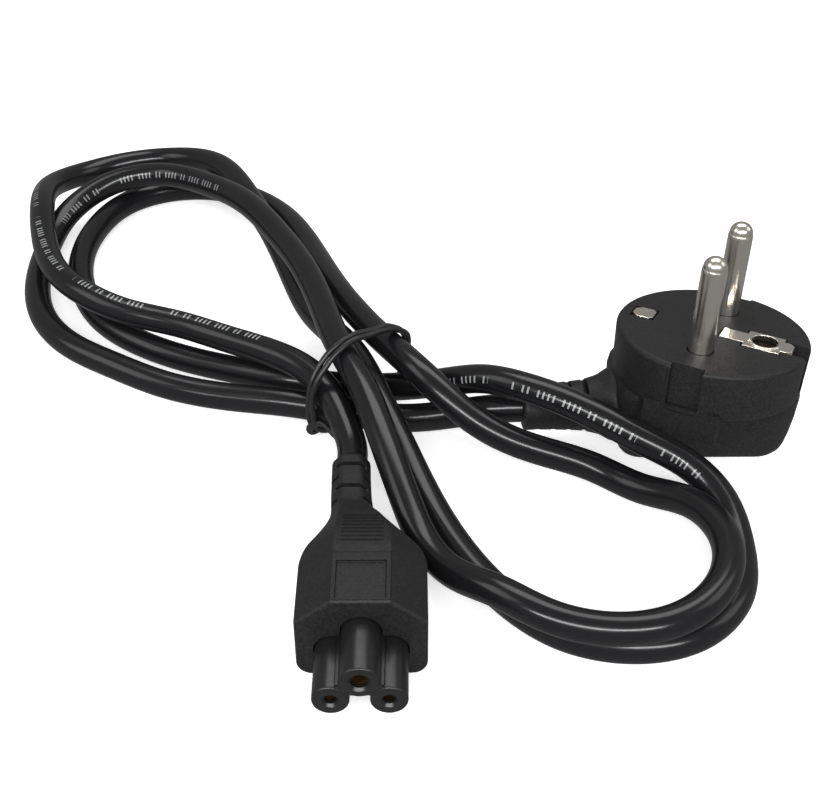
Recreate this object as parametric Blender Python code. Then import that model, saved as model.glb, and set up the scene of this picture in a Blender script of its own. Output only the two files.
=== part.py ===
"""Cloverleaf power cord.

A moulded cloverleaf connector and a moulded right-angle two-pin earthed plug
on the two ends of one round black cord. The cord lies in crossing loops, and
a coated wire tie holds it at its waist. Metres, +Z up, on a level floor at
z = 0. The lists of sizes below are in millimetres and are scaled on use.
"""
import math

import bpy
import bmesh
import numpy as np
from mathutils import Matrix, Vector

MM = 0.001
FIT = 0.3 * MM                      # clearance between separate solids
MIDDLE = (38.25, -44.98)            # floor point midway between connector and plug, mm

# Cord
CORD_DIAMETER = 5.8 * MM
CORD_POINT_COUNT = 79
CORD_LEAD = 4.5                     # straight run out of each strain relief
CORD_ROUTE = [                      # centre line from the connector to the plug, mm
    # out of the connector, up over the two lowest passes and away to the left
    (-3.2, -26.2, 8.8), (-6.4, -18.6, 10.6), (-12, -10, 11.2), (-20, -3, 10.6),
    (-30, 4, 9.3), (-41, 10, 9), (-52, 14, 9.3), (-62, 20, 10), (-70, 29, 10),
    # outer left loop, over the other two, and back to the tie
    (-76, 43, 10), (-80, 60, 10.5), (-80.4, 75.8, 7.5), (-74.8, 85.6, 5.4), (-64.4, 91.7, 5.2),
    (-52.3, 91.3, 6.6), (-39.7, 81.8, 9.5), (-31, 66, 9.5), (-24, 50, 8.7), (-18, 33, 7.5),
    (-12, 16, 7.5), (-3.5, -2, 11), (2.5, -18, 11),
    # outer right loop, flat on the floor, then over the neck of the plug
    (8, -31, 7), (13, -43, 4), (19, -56, 3), (26, -67, 3), (35, -75, 3),
    (47, -78, 3), (58, -75, 3), (66, -66, 3), (68.4, -54, 3.4), (66.6, -44.4, 6.4),
    (60.8, -38, 9.6), (53.6, -34.8, 12.2), (46, -31, 14.5), (38, -26.4, 15.8), (31, -22.2, 15.8),
    (24, -17.3, 14.1), (16, -12, 9.5), (7, -9, 6.2), (-3, -7, 4.7), (-14, -5, 4.6),
    # inner left loop, on the floor
    (-26, 0, 3.5), (-38, 5, 3), (-49, 11, 3), (-59, 20, 3), (-66, 33, 3),
    (-69, 47, 3), (-68, 61, 3), (-62, 74.5, 3), (-51.5, 80.9, 3), (-39.7, 80.4, 3.2),
    (-28.6, 72.4, 4), (-19, 56, 6.5), (-12, 36, 9), (-5, 15, 12), (4, -4, 14),
    # inner right loop, crossing over the outer one
    (12, -17, 14.5), (22, -25, 9.5), (33, -29, 6), (44, -32, 4), (52.5, -38.4, 4),
    (60.4, -46.6, 7.5), (64.5, -57.4, 9), (62.8, -67.6, 9.2), (55.7, -76.1, 9), (44, -80, 9.2),
    (32, -77, 9.3), (24, -71, 9), (17, -64, 6.5), (12, -56, 6), (8, -46, 9),
    (4, -34, 13), (0, -22, 15.7), (-5, -9, 16.3), (-9, 5, 16),
    # middle left loop, under the outer one, and along the floor to the plug
    (-14, 21, 16), (-21, 37, 15.5), (-30, 53, 14.8), (-41, 66.2, 12.6), (-54, 74.2, 10.9),
    (-65.8, 73.2, 8.9), (-75, 64.6, 5.6), (-78, 50, 3.2), (-77, 35, 3), (-73, 22, 3),
    (-65, 11, 3), (-54, 3, 3), (-42, -4, 3), (-28, -9, 3.5), (-15, -13, 4.9),
    (-2, -16, 4.6), (8, -16.5, 3.8), (17, -17.5, 5.5),
]

# Connector: local +Y runs from the tip of the nose to the cord
CONNECTOR_TIP = (1.4, -92.3)        # centre of the nose's front face on the floor, mm
CONNECTOR_YAW = 0.3                 # degrees, turning the cord end to the left
NOSE_LENGTH = 10.9
NOSE_ROOT = 4.0                     # length moulded into the body
NOSE_HEIGHT = 5.9                   # height of the line and neutral contacts
CONTACT_PITCH = 9.3
EARTH_RISE = 4.1
SIDE_BARREL_RADIUS = 3.05
EARTH_BARREL_RADIUS = 3.25
WEB_RISE = 1.2                      # underside of the web above the side contacts
WEB_SETBACK = 0.2                   # how far the web stays behind both ends of the barrels
SIDE_HOLE = 2.0                     # diameters of the entry holes
EARTH_HOLE = 2.9
HOLE_CHAMFER = 0.35
LIP_DEPTH = 1.0                     # plastic in front of each sleeve
SLEEVE_LENGTH = 8.5
SLEEVE_WALL = 0.35
SLEEVE_LIP = 0.15                   # how far each lip covers its sleeve's bore

BODY_HALF_WIDTH = 10.9
BODY_HEIGHT = 16.9
BODY_SIDE_HEIGHT = 12.1
BODY_TOP_HALF = 4.85
BODY_LENGTH = 31.0                  # front face to the foot of the strain relief
RELIEF_RADIUS = 3.7
RELIEF_LENGTH = 13.7
RELIEF_SWAY = 2.9                   # the cord has bent the relief to the left
RELIEF_HEIGHT = 8.0                 # height of the cord's axis at both ends
RELIEF_SLOT = 1.0
RELIEF_CORE = 2.3
RELIEF_SLOT_PITCH = 3.15
RELIEF_FIRST_SLOT = 0.1
RELIEF_SLOTS = 4                    # cut in turn through the sides and through the top
BADGE_WIDTH = 8.2
BADGE_LENGTH = 9.0
BADGE_SETBACK = 0.6
BADGE_DEPTH = 0.5
GRIP_RIBS = 6
GRIP_RIB_PITCH = 1.6
GRIP_RIB_DEPTH = 0.4
GRIP_HALF_WIDTH = 3.55
GRIP_START = 14.3                   # first rib behind the body's front face

# Plug: the face frame has its origin at the middle of the face
FACE_CENTRE = (67.6, -16.0, 24.8)
FACE_LEAN_BACK = 6.8                # degrees away from the viewer
FACE_LEAN_RIGHT = 3.4
CONTACT_YAW = -25.8                 # earth axis, from +X
CABLE_YAW = 4.0                     # cable axis, from +X
HEAD_RADIUS = 18.6
HEAD_DEPTH = 9.8
HEAD_EDGE = 0.8
NOTCH_WIDTH = 6.2
NOTCH_DEPTH = 2.0
NOTCH_LENGTH = 8.3
LUG_WIDTH = 14.3
LUG_DROP = 4.6
LUG_THICKNESS = 4.5
GRIP_WIDTH = 24.0
GRIP_FRONT = 17.2                   # reach of the grip past the face centre
GRIP_BACK = -19.0
GRIP_TAPER = 1.4
GRIP_TOP = 17.5
GRIP_FRONT_CORNER = 6.0
GRIP_BACK_CORNER = 4.0
NECK_HEIGHT = 8.0
NECK_RADIUS = 4.5
NECK_ROOT_RADIUS = 7.4
NECK_REACH = 12.0                   # how far the neck runs into the grip
NECK_START = -36.4                  # cord end of the neck on the cable axis
NECK_RIB_PITCH = 3.1
NECK_SLOT = 1.0
NECK_SLOTS = 4
NECK_CORE = 3.0
PIN_DIAMETER = 4.8
PIN_PITCH = 19.0
PIN_LENGTH = 19.0
PIN_ROOT = 5.0
STRIP_WIDTH = 4.1
STRIP_THICKNESS = 0.8
STRIP_START = 1.6
STRIP_END = 15.6
PLATE_START = 5.8
PLATE_END = 13.9
PLATE_WIDTH = 6.8
EARTH_SOCKET_RADIUS_AT = 10.0       # earth hole's distance from the face centre
EARTH_HOLE_DIAMETER = 5.0
TAB_START = 11.8
TAB_END = 16.0
CLIP_DROP = 7.5
SOCKET_WALL = 0.4
SOCKET_DEPTH = 6.0

# Wire tie: its loop in the plane across the waist, (along, up) in mm
TIE_CENTRE = (-1.0, -11.0)
TIE_YAW = 40.0
TIE_WIRE = 1.2
TIE_TURN_GAP = 1.7
TIE_LOOP = [
    (-3.0, 0.85), (-9.0, 1.0), (-12.4, 4.1), (-13.0, 9.5), (-11.5, 14.5), (-7.6, 18.6),
    (-2.6, 20.4), (3.0, 19.7), (8.6, 18.3), (12.0, 15.2), (11.8, 10.0), (10.6, 4.5),
    (6.5, 1.3), (1.5, 0.9),
]
TIE_TAIL = [                        # free end, mm
    (-10.6, -18.4, 1.7), (-10.9, -19.8, 4.1), (-9.2, -20.3, 5.6), (-6.5, -22.6, 5.2), (-3.9, -25.4, 4.2),
]


def clear_scene():
    """Remove every object that the file opened with."""
    for obj in list(bpy.data.objects):
        bpy.data.objects.remove(obj, do_unlink=True)


def material(name, color, roughness, metallic=0.0, coat=0.0):
    """A Principled material with one plain finish."""
    mat = bpy.data.materials.new(name)
    mat.use_nodes = True
    bsdf = mat.node_tree.nodes["Principled BSDF"]
    bsdf.inputs["Base Color"].default_value = (*color, 1.0)
    bsdf.inputs["Roughness"].default_value = roughness
    bsdf.inputs["Metallic"].default_value = metallic
    bsdf.inputs["Coat Weight"].default_value = coat
    mat.diffuse_color = (*color, 1.0)
    return mat


def centred():
    """Move the layout so that the row's origin is at its middle."""
    return Matrix.Translation((-MIDDLE[0] * MM, -MIDDLE[1] * MM, 0.0))


def mesh_object(name, bm, mat, matrix, smooth=False):
    """Link a bmesh as an object with outward normals."""
    bmesh.ops.remove_doubles(bm, verts=bm.verts, dist=1e-6)
    bmesh.ops.recalc_face_normals(bm, faces=bm.faces)
    mesh = bpy.data.meshes.new(name)
    bm.to_mesh(mesh)
    bm.free()
    for poly in mesh.polygons:
        poly.use_smooth = smooth
    obj = bpy.data.objects.new(name, mesh)
    bpy.context.collection.objects.link(obj)
    if mat is not None:
        mesh.materials.append(mat)
    obj.matrix_world = centred() @ matrix
    return obj


def loft(rings):
    """A closed skin over rings of equal point count, given in mm."""
    bm = bmesh.new()
    loops = [[bm.verts.new(Vector(p) * MM) for p in ring] for ring in rings]
    count = len(loops[0])
    for lower, upper in zip(loops, loops[1:]):
        for k in range(count):
            n = (k + 1) % count
            bm.faces.new((lower[k], lower[n], upper[n], upper[k]))
    bm.faces.new(list(reversed(loops[0])))
    bm.faces.new(loops[-1])
    return bm


def turned(profile, segments=40):
    """A solid of revolution about local Z from (radius, height) points in mm."""
    bm = bmesh.new()
    verts = [bm.verts.new((r * MM, 0.0, z * MM)) for r, z in profile]
    edges = [bm.edges.new(pair) for pair in zip(verts, verts[1:])]
    bmesh.ops.spin(bm, geom=verts + edges, cent=(0, 0, 0), axis=(0, 0, 1), dvec=(0, 0, 0),
                   angle=2 * math.pi, steps=segments, use_merge=False)
    bmesh.ops.remove_doubles(bm, verts=bm.verts, dist=1e-6)
    return bm


def box(low, high):
    """An axis-aligned box between two corners in mm."""
    bm = bmesh.new()
    bmesh.ops.create_cube(bm, size=1.0)
    for v in bm.verts:
        v.co = Vector([(lo + (c + 0.5) * (hi - lo)) * MM for lo, hi, c in zip(low, high, v.co)])
    return bm


def boolean(target, tool, operation):
    """Join or cut the target with a hidden tool object."""
    tool.hide_render = True
    tool.display_type = "WIRE"
    mod = target.modifiers.new(operation.title(), "BOOLEAN")
    mod.operation = operation
    mod.solver = "EXACT"
    mod.object = tool


def tool_object(name, bm, matrix):
    """A helper solid that only shapes another one."""
    tool = mesh_object(name, bm, None, matrix)
    tool.hide_set(True)
    return tool


def rounded_ring(corners, radii, y, steps=4):
    """Corner points in X and Z, each rounded by an arc, at one local Y."""
    ring = []
    count = len(corners)
    for k in range(count):
        here = Vector(corners[k])
        before = (Vector(corners[k - 1]) - here).normalized()
        after = (Vector(corners[(k + 1) % count]) - here).normalized()
        half = before.angle(after) / 2
        reach = radii[k] / math.tan(half)
        centre = here + (before + after).normalized() * (radii[k] / math.sin(half))
        start = here + before * reach - centre
        end = here + after * reach - centre
        turn = start.angle(end)
        for s in range(steps):
            t = s / (steps - 1)
            point = (start * math.sin((1 - t) * turn) + end * math.sin(t * turn)) / math.sin(turn)
            ring.append((centre.x + point.x, y, centre.y + point.y))
    return ring


def body_ring(y, half, side, top_half, top, bottom, corner, sway=0.0):
    """One section of the connector body: flat bottom, two shoulders, flat top."""
    corners = [(half, bottom), (half, side), (top_half, top),
               (-top_half, top), (-half, side), (-half, bottom)]
    corners = [(x - sway * RELIEF_SWAY, z) for x, z in corners]
    radii = [corner, 0.8, 0.8, 0.8, 0.8, corner]
    return rounded_ring(corners, radii, y)


def relief_ring(y, radius, sway):
    """A nearly round section of the connector's strain relief."""
    c = RELIEF_HEIGHT
    corners = [(radius, c - radius), (radius, c + radius * 0.4), (radius * 0.5, c + radius),
               (-radius * 0.5, c + radius), (-radius, c + radius * 0.4), (-radius, c - radius)]
    corners = [(x - sway * RELIEF_SWAY, z) for x, z in corners]
    r = radius * 0.45
    return rounded_ring(corners, [radius * 0.8, r, r, r, r, radius * 0.8], y)


def connector_matrix():
    """Place the connector's local frame on the floor."""
    move = Matrix.Translation((CONNECTOR_TIP[0] * MM, CONNECTOR_TIP[1] * MM, 0.0))
    return move @ Matrix.Rotation(math.radians(CONNECTOR_YAW), 4, "Z")


def along_y(x, y, z):
    """Turn a lathe's +Z into the connector's +Y at a point given in mm."""
    return Matrix.Translation((x * MM, y * MM, z * MM)) @ Matrix.Rotation(-math.pi / 2, 4, "X")


def contacts():
    """Name, X, Z, barrel radius and entry hole of each connector contact."""
    return [
        ("left", -CONTACT_PITCH / 2, NOSE_HEIGHT, SIDE_BARREL_RADIUS, SIDE_HOLE),
        ("right", CONTACT_PITCH / 2, NOSE_HEIGHT, SIDE_BARREL_RADIUS, SIDE_HOLE),
        ("earth", 0.0, NOSE_HEIGHT + EARTH_RISE, EARTH_BARREL_RADIUS, EARTH_HOLE),
    ]


def cloverleaf(name, frame, mat, start, end, grow, edge):
    """The three barrels and the web between them, joined into one solid."""
    parts = []
    for label, x, z, radius, _ in contacts():
        r = radius + grow
        profile = [(0, 0), (r - edge, 0), (r, edge), (r, end - start), (0, end - start)]
        parts.append((label, turned(profile, 48), frame @ along_y(x, start, z)))
    half = CONTACT_PITCH / 2 + grow
    neck = EARTH_BARREL_RADIUS * 0.8 + grow
    low = NOSE_HEIGHT + WEB_RISE - grow
    side = NOSE_HEIGHT + WEB_RISE + 1.0 + grow
    high = NOSE_HEIGHT + EARTH_RISE + grow
    section = [(-half, low), (half, low), (half, side), (neck, high), (-neck, high), (-half, side)]
    web = loft([[(x, y, z) for x, z in section] for y in (start + WEB_SETBACK, end - WEB_SETBACK)])
    label, bm, matrix = parts[0]
    solid = mesh_object(name, bm, mat, matrix) if mat else tool_object(name, bm, matrix)
    for label, bm, matrix in parts[1:]:
        boolean(solid, tool_object(f"{name}_{label}_barrel", bm, matrix), "UNION")
    boolean(solid, tool_object(f"{name}_web", web, frame), "UNION")
    return solid


def connector(plastic, hard, brass):
    """The overmoulded body, its cloverleaf nose and three contact sleeves."""
    frame = connector_matrix()
    front = NOSE_LENGTH
    rear = front + BODY_LENGTH
    tail = rear + RELIEF_LENGTH
    w = BODY_HALF_WIDTH
    h = BODY_HEIGHT
    s = BODY_SIDE_HEIGHT
    t = BODY_TOP_HALF
    rings = [
        body_ring(front, w - 0.7, s - 0.4, t - 0.3, h - 0.6, 0.7, 2.2),
        body_ring(front + 0.7, w, s, t, h, 0.0, 2.6),
        body_ring(front + 0.42 * BODY_LENGTH, w, s, t, h, 0.0, 2.6),
        body_ring(front + 0.55 * BODY_LENGTH, w - 0.7, s - 0.2, t - 0.2, h - 0.5, 0.1, 2.6, 0.03),
        body_ring(front + 0.68 * BODY_LENGTH, w - 2.9, s - 0.5, t - 0.7, h - 1.4, 0.4, 2.6, 0.13),
        body_ring(front + 0.80 * BODY_LENGTH, w - 5.3, s - 0.9, t - 1.5, h - 2.7, 1.3, 2.4, 0.35),
        body_ring(front + 0.91 * BODY_LENGTH, w - 6.7, s - 1.6, t - 2.4, h - 4.1, 2.8, 1.9, 0.62),
        relief_ring(rear, RELIEF_RADIUS, 0.83),
        relief_ring(rear + 0.3 * RELIEF_LENGTH, RELIEF_RADIUS, 0.93),
        relief_ring(tail - 0.8, RELIEF_RADIUS * 0.96, 1.0),
        relief_ring(tail, RELIEF_RADIUS * 0.96 - 0.7, 1.0),
    ]
    body = mesh_object("connector_body", loft(rings), plastic, frame)
    pocket = cloverleaf("nose_pocket", frame, None, front - 1.0, front + NOSE_ROOT + FIT / MM, FIT / MM, 0.0)
    boolean(body, pocket, "DIFFERENCE")

    half = BADGE_WIDTH / 2
    badge = box((-half, front + BADGE_SETBACK, h - BADGE_DEPTH),
                (half, front + BADGE_SETBACK + BADGE_LENGTH, h + 1))
    boolean(body, tool_object("badge_cutter", badge, frame), "DIFFERENCE")

    for k in range(GRIP_RIBS):
        y = front + GRIP_START + k * GRIP_RIB_PITCH
        roof = h - 0.5 - 0.115 * k * GRIP_RIB_PITCH - GRIP_RIB_DEPTH
        groove = box((-GRIP_HALF_WIDTH, y, roof - 0.14 * k), (GRIP_HALF_WIDTH, y + GRIP_RIB_PITCH / 2, h + 2))
        boolean(body, tool_object(f"grip_groove_{k + 1}", groove, frame), "DIFFERENCE")

    reach = RELIEF_RADIUS + 2
    core = RELIEF_CORE
    c = RELIEF_HEIGHT
    sway = 0.92 * RELIEF_SWAY
    for k in range(RELIEF_SLOTS):
        y = rear + RELIEF_FIRST_SLOT + k * RELIEF_SLOT_PITCH
        if k % 2:
            pairs = [((-reach, c + core), (reach, c + reach)), ((-reach, c - reach), (reach, c - core))]
        else:
            pairs = [((core, c - reach), (reach, c + reach)), ((-reach, c - reach), (-core, c + reach))]
        for side, (a, b) in zip(("first", "second"), pairs):
            slot = box((a[0] - sway, y, a[1]), (b[0] - sway, y + RELIEF_SLOT, b[1]))
            boolean(body, tool_object(f"relief_slot_{k + 1}_{side}", slot, frame), "DIFFERENCE")

    nose = cloverleaf("connector_nose", frame, hard, 0.0, front + NOSE_ROOT, 0.0, 0.4)
    for label, x, z, radius, hole in contacts():
        bore = hole / 2
        sleeve_inner = bore + SLEEVE_LIP
        sleeve_outer = sleeve_inner + SLEEVE_WALL
        cavity = sleeve_outer + FIT / MM
        depth = LIP_DEPTH + FIT / MM
        floor = depth + SLEEVE_LENGTH + FIT / MM
        profile = [(0, -1), (bore + HOLE_CHAMFER, -1), (bore + HOLE_CHAMFER, 0), (bore, HOLE_CHAMFER),
                   (bore, LIP_DEPTH), (cavity, LIP_DEPTH), (cavity, floor), (0, floor)]
        cutter = tool_object(f"{label}_contact_hole", turned(profile, 32), frame @ along_y(x, 0, z))
        boolean(nose, cutter, "DIFFERENCE")
        tube = [(sleeve_inner, depth), (sleeve_outer, depth), (sleeve_outer, depth + SLEEVE_LENGTH),
                (sleeve_inner, depth + SLEEVE_LENGTH), (sleeve_inner, depth)]
        mesh_object(f"{label}_contact_sleeve", turned(tube, 32), brass, frame @ along_y(x, 0, z), True)


def face_matrix():
    """The plug's face frame: local X is the earth axis, local Z the pins' way."""
    normal = Vector((math.sin(math.radians(FACE_LEAN_RIGHT)), math.sin(math.radians(FACE_LEAN_BACK)), 0))
    normal.z = math.sqrt(1 - normal.length_squared)
    yaw = math.radians(CONTACT_YAW)
    earth = Vector((math.cos(yaw), math.sin(yaw), 0))
    earth = (earth - normal * earth.dot(normal)).normalized()
    pins = normal.cross(earth)
    turn = Matrix((earth, pins, normal)).transposed().to_4x4()
    return Matrix.Translation(Vector(FACE_CENTRE) * MM) @ turn


def cable_matrix():
    """The plug's floor frame: local X runs from the cord to the head."""
    move = Matrix.Translation((FACE_CENTRE[0] * MM, FACE_CENTRE[1] * MM, 0))
    return move @ Matrix.Rotation(math.radians(CABLE_YAW), 4, "Z")


def grip_ring(z, inset):
    """One level section of the grip under the plug's head."""
    half = GRIP_WIDTH / 2 - inset
    corners = [(GRIP_FRONT - inset, -half), (GRIP_FRONT - inset, half),
               (GRIP_BACK + inset, half * 0.8), (GRIP_BACK + inset, -half * 0.8)]
    flat = rounded_ring(corners, [GRIP_FRONT_CORNER] * 2 + [GRIP_BACK_CORNER] * 2, 0, 7)
    return [(x, y, z) for x, _, y in flat]


def plug_body(plastic):
    """Round head, grip and strain relief neck, moulded as one."""
    face = face_matrix()
    cable = cable_matrix()
    r = HEAD_RADIUS
    profile = [(0, 0), (r - HEAD_EDGE, 0), (r - 0.2, -0.3), (r, -HEAD_EDGE), (r - 0.3, -HEAD_DEPTH + 0.6),
               (r - 0.9, -HEAD_DEPTH), (0, -HEAD_DEPTH)]
    body = mesh_object("plug_body", turned(profile, 72), plastic, face)

    levels = [(0.0, GRIP_TAPER + 0.8), (0.8, GRIP_TAPER), (GRIP_TOP * 0.55, 0.4), (GRIP_TOP, 0.0)]
    grip = loft([grip_ring(z, inset) for z, inset in levels])
    boolean(body, tool_object("plug_grip", grip, cable), "UNION")

    neck = [(0, NECK_START), (NECK_RADIUS - 0.6, NECK_START), (NECK_RADIUS, NECK_START + 0.6),
            (NECK_RADIUS + 0.5, GRIP_BACK - 4.5), (NECK_ROOT_RADIUS - 0.9, GRIP_BACK - 1.2),
            (NECK_ROOT_RADIUS, GRIP_BACK + 2.0), (NECK_ROOT_RADIUS, GRIP_BACK + NECK_REACH),
            (0, GRIP_BACK + NECK_REACH)]
    along_x = Matrix.Translation((0, 0, NECK_HEIGHT * MM)) @ Matrix.Rotation(math.pi / 2, 4, "Y")
    boolean(body, tool_object("plug_neck", turned(neck, 32), cable @ along_x), "UNION")

    for side, turn in (("near", -1), ("far", 1)):
        inner = (r - LUG_THICKNESS) * turn
        outer = (r - 0.6) * turn
        lug = box((-LUG_WIDTH / 2, min(inner, outer), -HEAD_DEPTH - LUG_DROP),
                  (LUG_WIDTH / 2, max(inner, outer), -HEAD_DEPTH + 1.5))
        boolean(body, tool_object(f"{side}_guide_lug", lug, face), "UNION")
        inner = (r - NOTCH_DEPTH) * turn
        outer = (r + 2) * turn
        notch = box((-NOTCH_WIDTH / 2, min(inner, outer), -NOTCH_LENGTH),
                    (NOTCH_WIDTH / 2, max(inner, outer), 1))
        boolean(body, tool_object(f"{side}_guide_notch", notch, face), "DIFFERENCE")

    reach = NECK_ROOT_RADIUS
    for k in range(NECK_SLOTS):
        x = NECK_START + 2.4 + k * NECK_RIB_PITCH
        for side, turn in (("upper", 1), ("lower", -1)):
            z = (NECK_HEIGHT + turn * NECK_CORE, NECK_HEIGHT + turn * reach)
            slot = box((x, -reach, min(z)), (x + NECK_SLOT, reach, max(z)))
            boolean(body, tool_object(f"neck_slot_{k + 1}_{side}", slot, cable), "DIFFERENCE")
    return body, face


def plug(plastic, nickel, bronze):
    """The plug's body with its pins, earth strip, earth clip and earth socket."""
    body, face = plug_body(plastic)
    fit = FIT / MM
    r = PIN_DIAMETER / 2
    pin = [(0, -PIN_ROOT), (r, -PIN_ROOT), (r, PIN_LENGTH - 2.6), (r - 0.25, PIN_LENGTH - 2.1),
           (r - 0.7, PIN_LENGTH - 1.2), (r - 1.3, PIN_LENGTH - 0.45), (r - 1.9, PIN_LENGTH - 0.08), (0, PIN_LENGTH)]
    bore = [(0, -PIN_ROOT - fit), (r + fit, -PIN_ROOT - fit), (r + fit, 1), (0, 1)]

    def strip_outline(grow):
        """Plan of the earth strip: a narrow tongue that widens round its hole."""
        n = STRIP_WIDTH / 2 + grow
        p = PLATE_WIDTH / 2 + grow
        return [(STRIP_START - grow, -n), (PLATE_START - grow, -n), (PLATE_START - grow, -p),
                (PLATE_END + grow, -p), (PLATE_END + grow, -n), (STRIP_END + grow, -n),
                (STRIP_END + grow, n), (PLATE_END + grow, n), (PLATE_END + grow, p),
                (PLATE_START - grow, p), (PLATE_START - grow, n), (STRIP_START - grow, n)]

    t = STRIP_THICKNESS
    strip = loft([[(x, y, z) for x, y in strip_outline(0)] for z in (-t, 0.1)])
    hollow = loft([[(x, y, z) for x, y in strip_outline(fit)] for z in (-t - fit, 1)])
    boolean(body, tool_object("strip_recess", hollow, face), "DIFFERENCE")
    earth_strip = mesh_object("earth_strip", strip, nickel, face)
    leg_low = -CLIP_DROP
    n = STRIP_WIDTH / 2
    leg = box((STRIP_END - t, -n, leg_low), (STRIP_END, n, -t / 2))
    boolean(earth_strip, tool_object("strip_leg", leg, face), "UNION")
    channel = box((STRIP_END - t - fit, -n - fit, leg_low - fit), (HEAD_RADIUS + 2, n + fit, 1))
    boolean(body, tool_object("strip_side_channel", channel, face), "DIFFERENCE")

    tab = box((-TAB_END, -n, -t), (-TAB_START, n, 0.1))
    earth_clip = mesh_object("earth_clip", tab, nickel, face)
    leg = box((-TAB_END, -n, leg_low), (-TAB_END + t, n, -t / 2))
    boolean(earth_clip, tool_object("clip_leg", leg, face), "UNION")
    hollow = box((-TAB_END - fit, -n - fit, -t - fit), (-TAB_START + fit, n + fit, 1))
    boolean(body, tool_object("clip_recess", hollow, face), "DIFFERENCE")
    channel = box((-HEAD_RADIUS - 2, -n - fit, leg_low - fit), (-TAB_END + t + fit, n + fit, 1))
    boolean(body, tool_object("clip_side_channel", channel, face), "DIFFERENCE")

    place = face @ Matrix.Translation((EARTH_SOCKET_RADIUS_AT * MM, 0, 0))
    hole = EARTH_HOLE_DIAMETER / 2
    punch = [(0, -3), (hole, -3), (hole, 3), (0, 3)]
    boolean(earth_strip, tool_object("strip_hole", turned(punch, 36), place), "DIFFERENCE")
    top = -t - 2 * fit
    outer = hole + SOCKET_WALL
    tube = [(hole, top - SOCKET_DEPTH), (outer, top - SOCKET_DEPTH), (outer, top), (hole, top),
            (hole, top - SOCKET_DEPTH)]
    well = [(0, top - SOCKET_DEPTH - fit), (outer + fit, top - SOCKET_DEPTH - fit), (outer + fit, 1), (0, 1)]
    boolean(body, tool_object("earth_socket_well", turned(well, 36), place), "DIFFERENCE")
    mesh_object("earth_socket", turned(tube, 36), bronze, place, True)

    for side, turn in (("near", -1), ("far", 1)):
        place = face @ Matrix.Translation((0, turn * PIN_PITCH / 2 * MM, 0))
        boolean(body, tool_object(f"{side}_pin_bore", turned(bore, 40), place), "DIFFERENCE")
        mesh_object(f"{side}_pin", turned(pin, 40), nickel, place, True)


def smooth_curve(points, samples):
    """Evenly spaced points on a natural cubic spline through the given points."""
    pts = np.array(points, dtype=float)
    t = np.concatenate([[0.0], np.cumsum(np.linalg.norm(np.diff(pts, axis=0), axis=1))])
    h = np.diff(t)
    n = len(pts)
    a = np.zeros((n, n))
    b = np.zeros((n, 3))
    a[0, 0] = 1.0
    a[-1, -1] = 1.0
    for i in range(1, n - 1):
        a[i, i - 1] = h[i - 1]
        a[i, i] = 2 * (h[i - 1] + h[i])
        a[i, i + 1] = h[i]
        b[i] = 6 * ((pts[i + 1] - pts[i]) / h[i] - (pts[i] - pts[i - 1]) / h[i - 1])
    bend = np.linalg.solve(a, b)
    fine = []
    for i in range(n - 1):
        x = np.linspace(0, h[i], 16, endpoint=False)[:, None]
        y = h[i] - x
        fine.append(bend[i] * y**3 / (6 * h[i]) + bend[i + 1] * x**3 / (6 * h[i])
                    + (pts[i] / h[i] - bend[i] * h[i] / 6) * y
                    + (pts[i + 1] / h[i] - bend[i + 1] * h[i] / 6) * x)
    fine = np.vstack(fine + [pts[-1:]])
    run = np.concatenate([[0.0], np.cumsum(np.linalg.norm(np.diff(fine, axis=0), axis=1))])
    at = np.linspace(0, run[-1], samples)
    return np.stack([np.interp(at, run, fine[:, k]) for k in range(3)], axis=1)


def tube(name, points, diameter, mat, resolution):
    """A round tube with filled caps along points given in mm."""
    curve = bpy.data.curves.new(name, "CURVE")
    curve.dimensions = "3D"
    curve.bevel_depth = diameter / 2
    curve.bevel_resolution = resolution
    curve.use_fill_caps = True
    spline = curve.splines.new("POLY")
    spline.points.add(len(points) - 1)
    for target, p in zip(spline.points, points):
        target.co = (p[0] * MM, p[1] * MM, p[2] * MM, 1.0)
    spline.use_smooth = True
    obj = bpy.data.objects.new(name, curve)
    bpy.context.collection.objects.link(obj)
    curve.materials.append(mat)
    obj.matrix_world = centred()


def cord(vinyl):
    """The cord's tube, its ends face to face with the two strain reliefs."""
    rear = (NOSE_LENGTH + BODY_LENGTH + RELIEF_LENGTH) * MM + FIT
    plug_end = NECK_START * MM - FIT
    lead = CORD_LEAD * MM
    exit_side = -RELIEF_SWAY * MM
    exits = [connector_matrix() @ Vector((exit_side, rear + out, RELIEF_HEIGHT * MM)) for out in (0, lead)]
    entries = [cable_matrix() @ Vector((plug_end - out, 0, NECK_HEIGHT * MM)) for out in (lead, 0)]
    route = [tuple(p / MM) for p in exits] + CORD_ROUTE + [tuple(p / MM) for p in entries]
    even = smooth_curve(route, CORD_POINT_COUNT - 2)
    points = [route[0], route[1], *even[1:-1], route[-2], route[-1]]
    tube("cord", points, CORD_DIAMETER, vinyl, 3)


def tie(coated):
    """Two turns of coated wire round the waist and a short tail."""
    yaw = math.radians(TIE_YAW)
    along = Vector((math.cos(yaw), math.sin(yaw), 0))
    across = Vector((-math.sin(yaw), math.cos(yaw), 0))
    centre = Vector((TIE_CENTRE[0], TIE_CENTRE[1], 0))
    path = []
    steps = 2 * len(TIE_LOOP)
    for k in range(steps):
        u, z = TIE_LOOP[(k + 2) % len(TIE_LOOP)]
        shift = (k / len(TIE_LOOP) - 1.0) * TIE_TURN_GAP
        path.append(tuple(centre + along * u + across * shift + Vector((0, 0, z))))
    path += TIE_TAIL
    tube("wire_tie", smooth_curve(path, 4 * len(path)), TIE_WIRE * MM, coated, 2)


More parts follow.
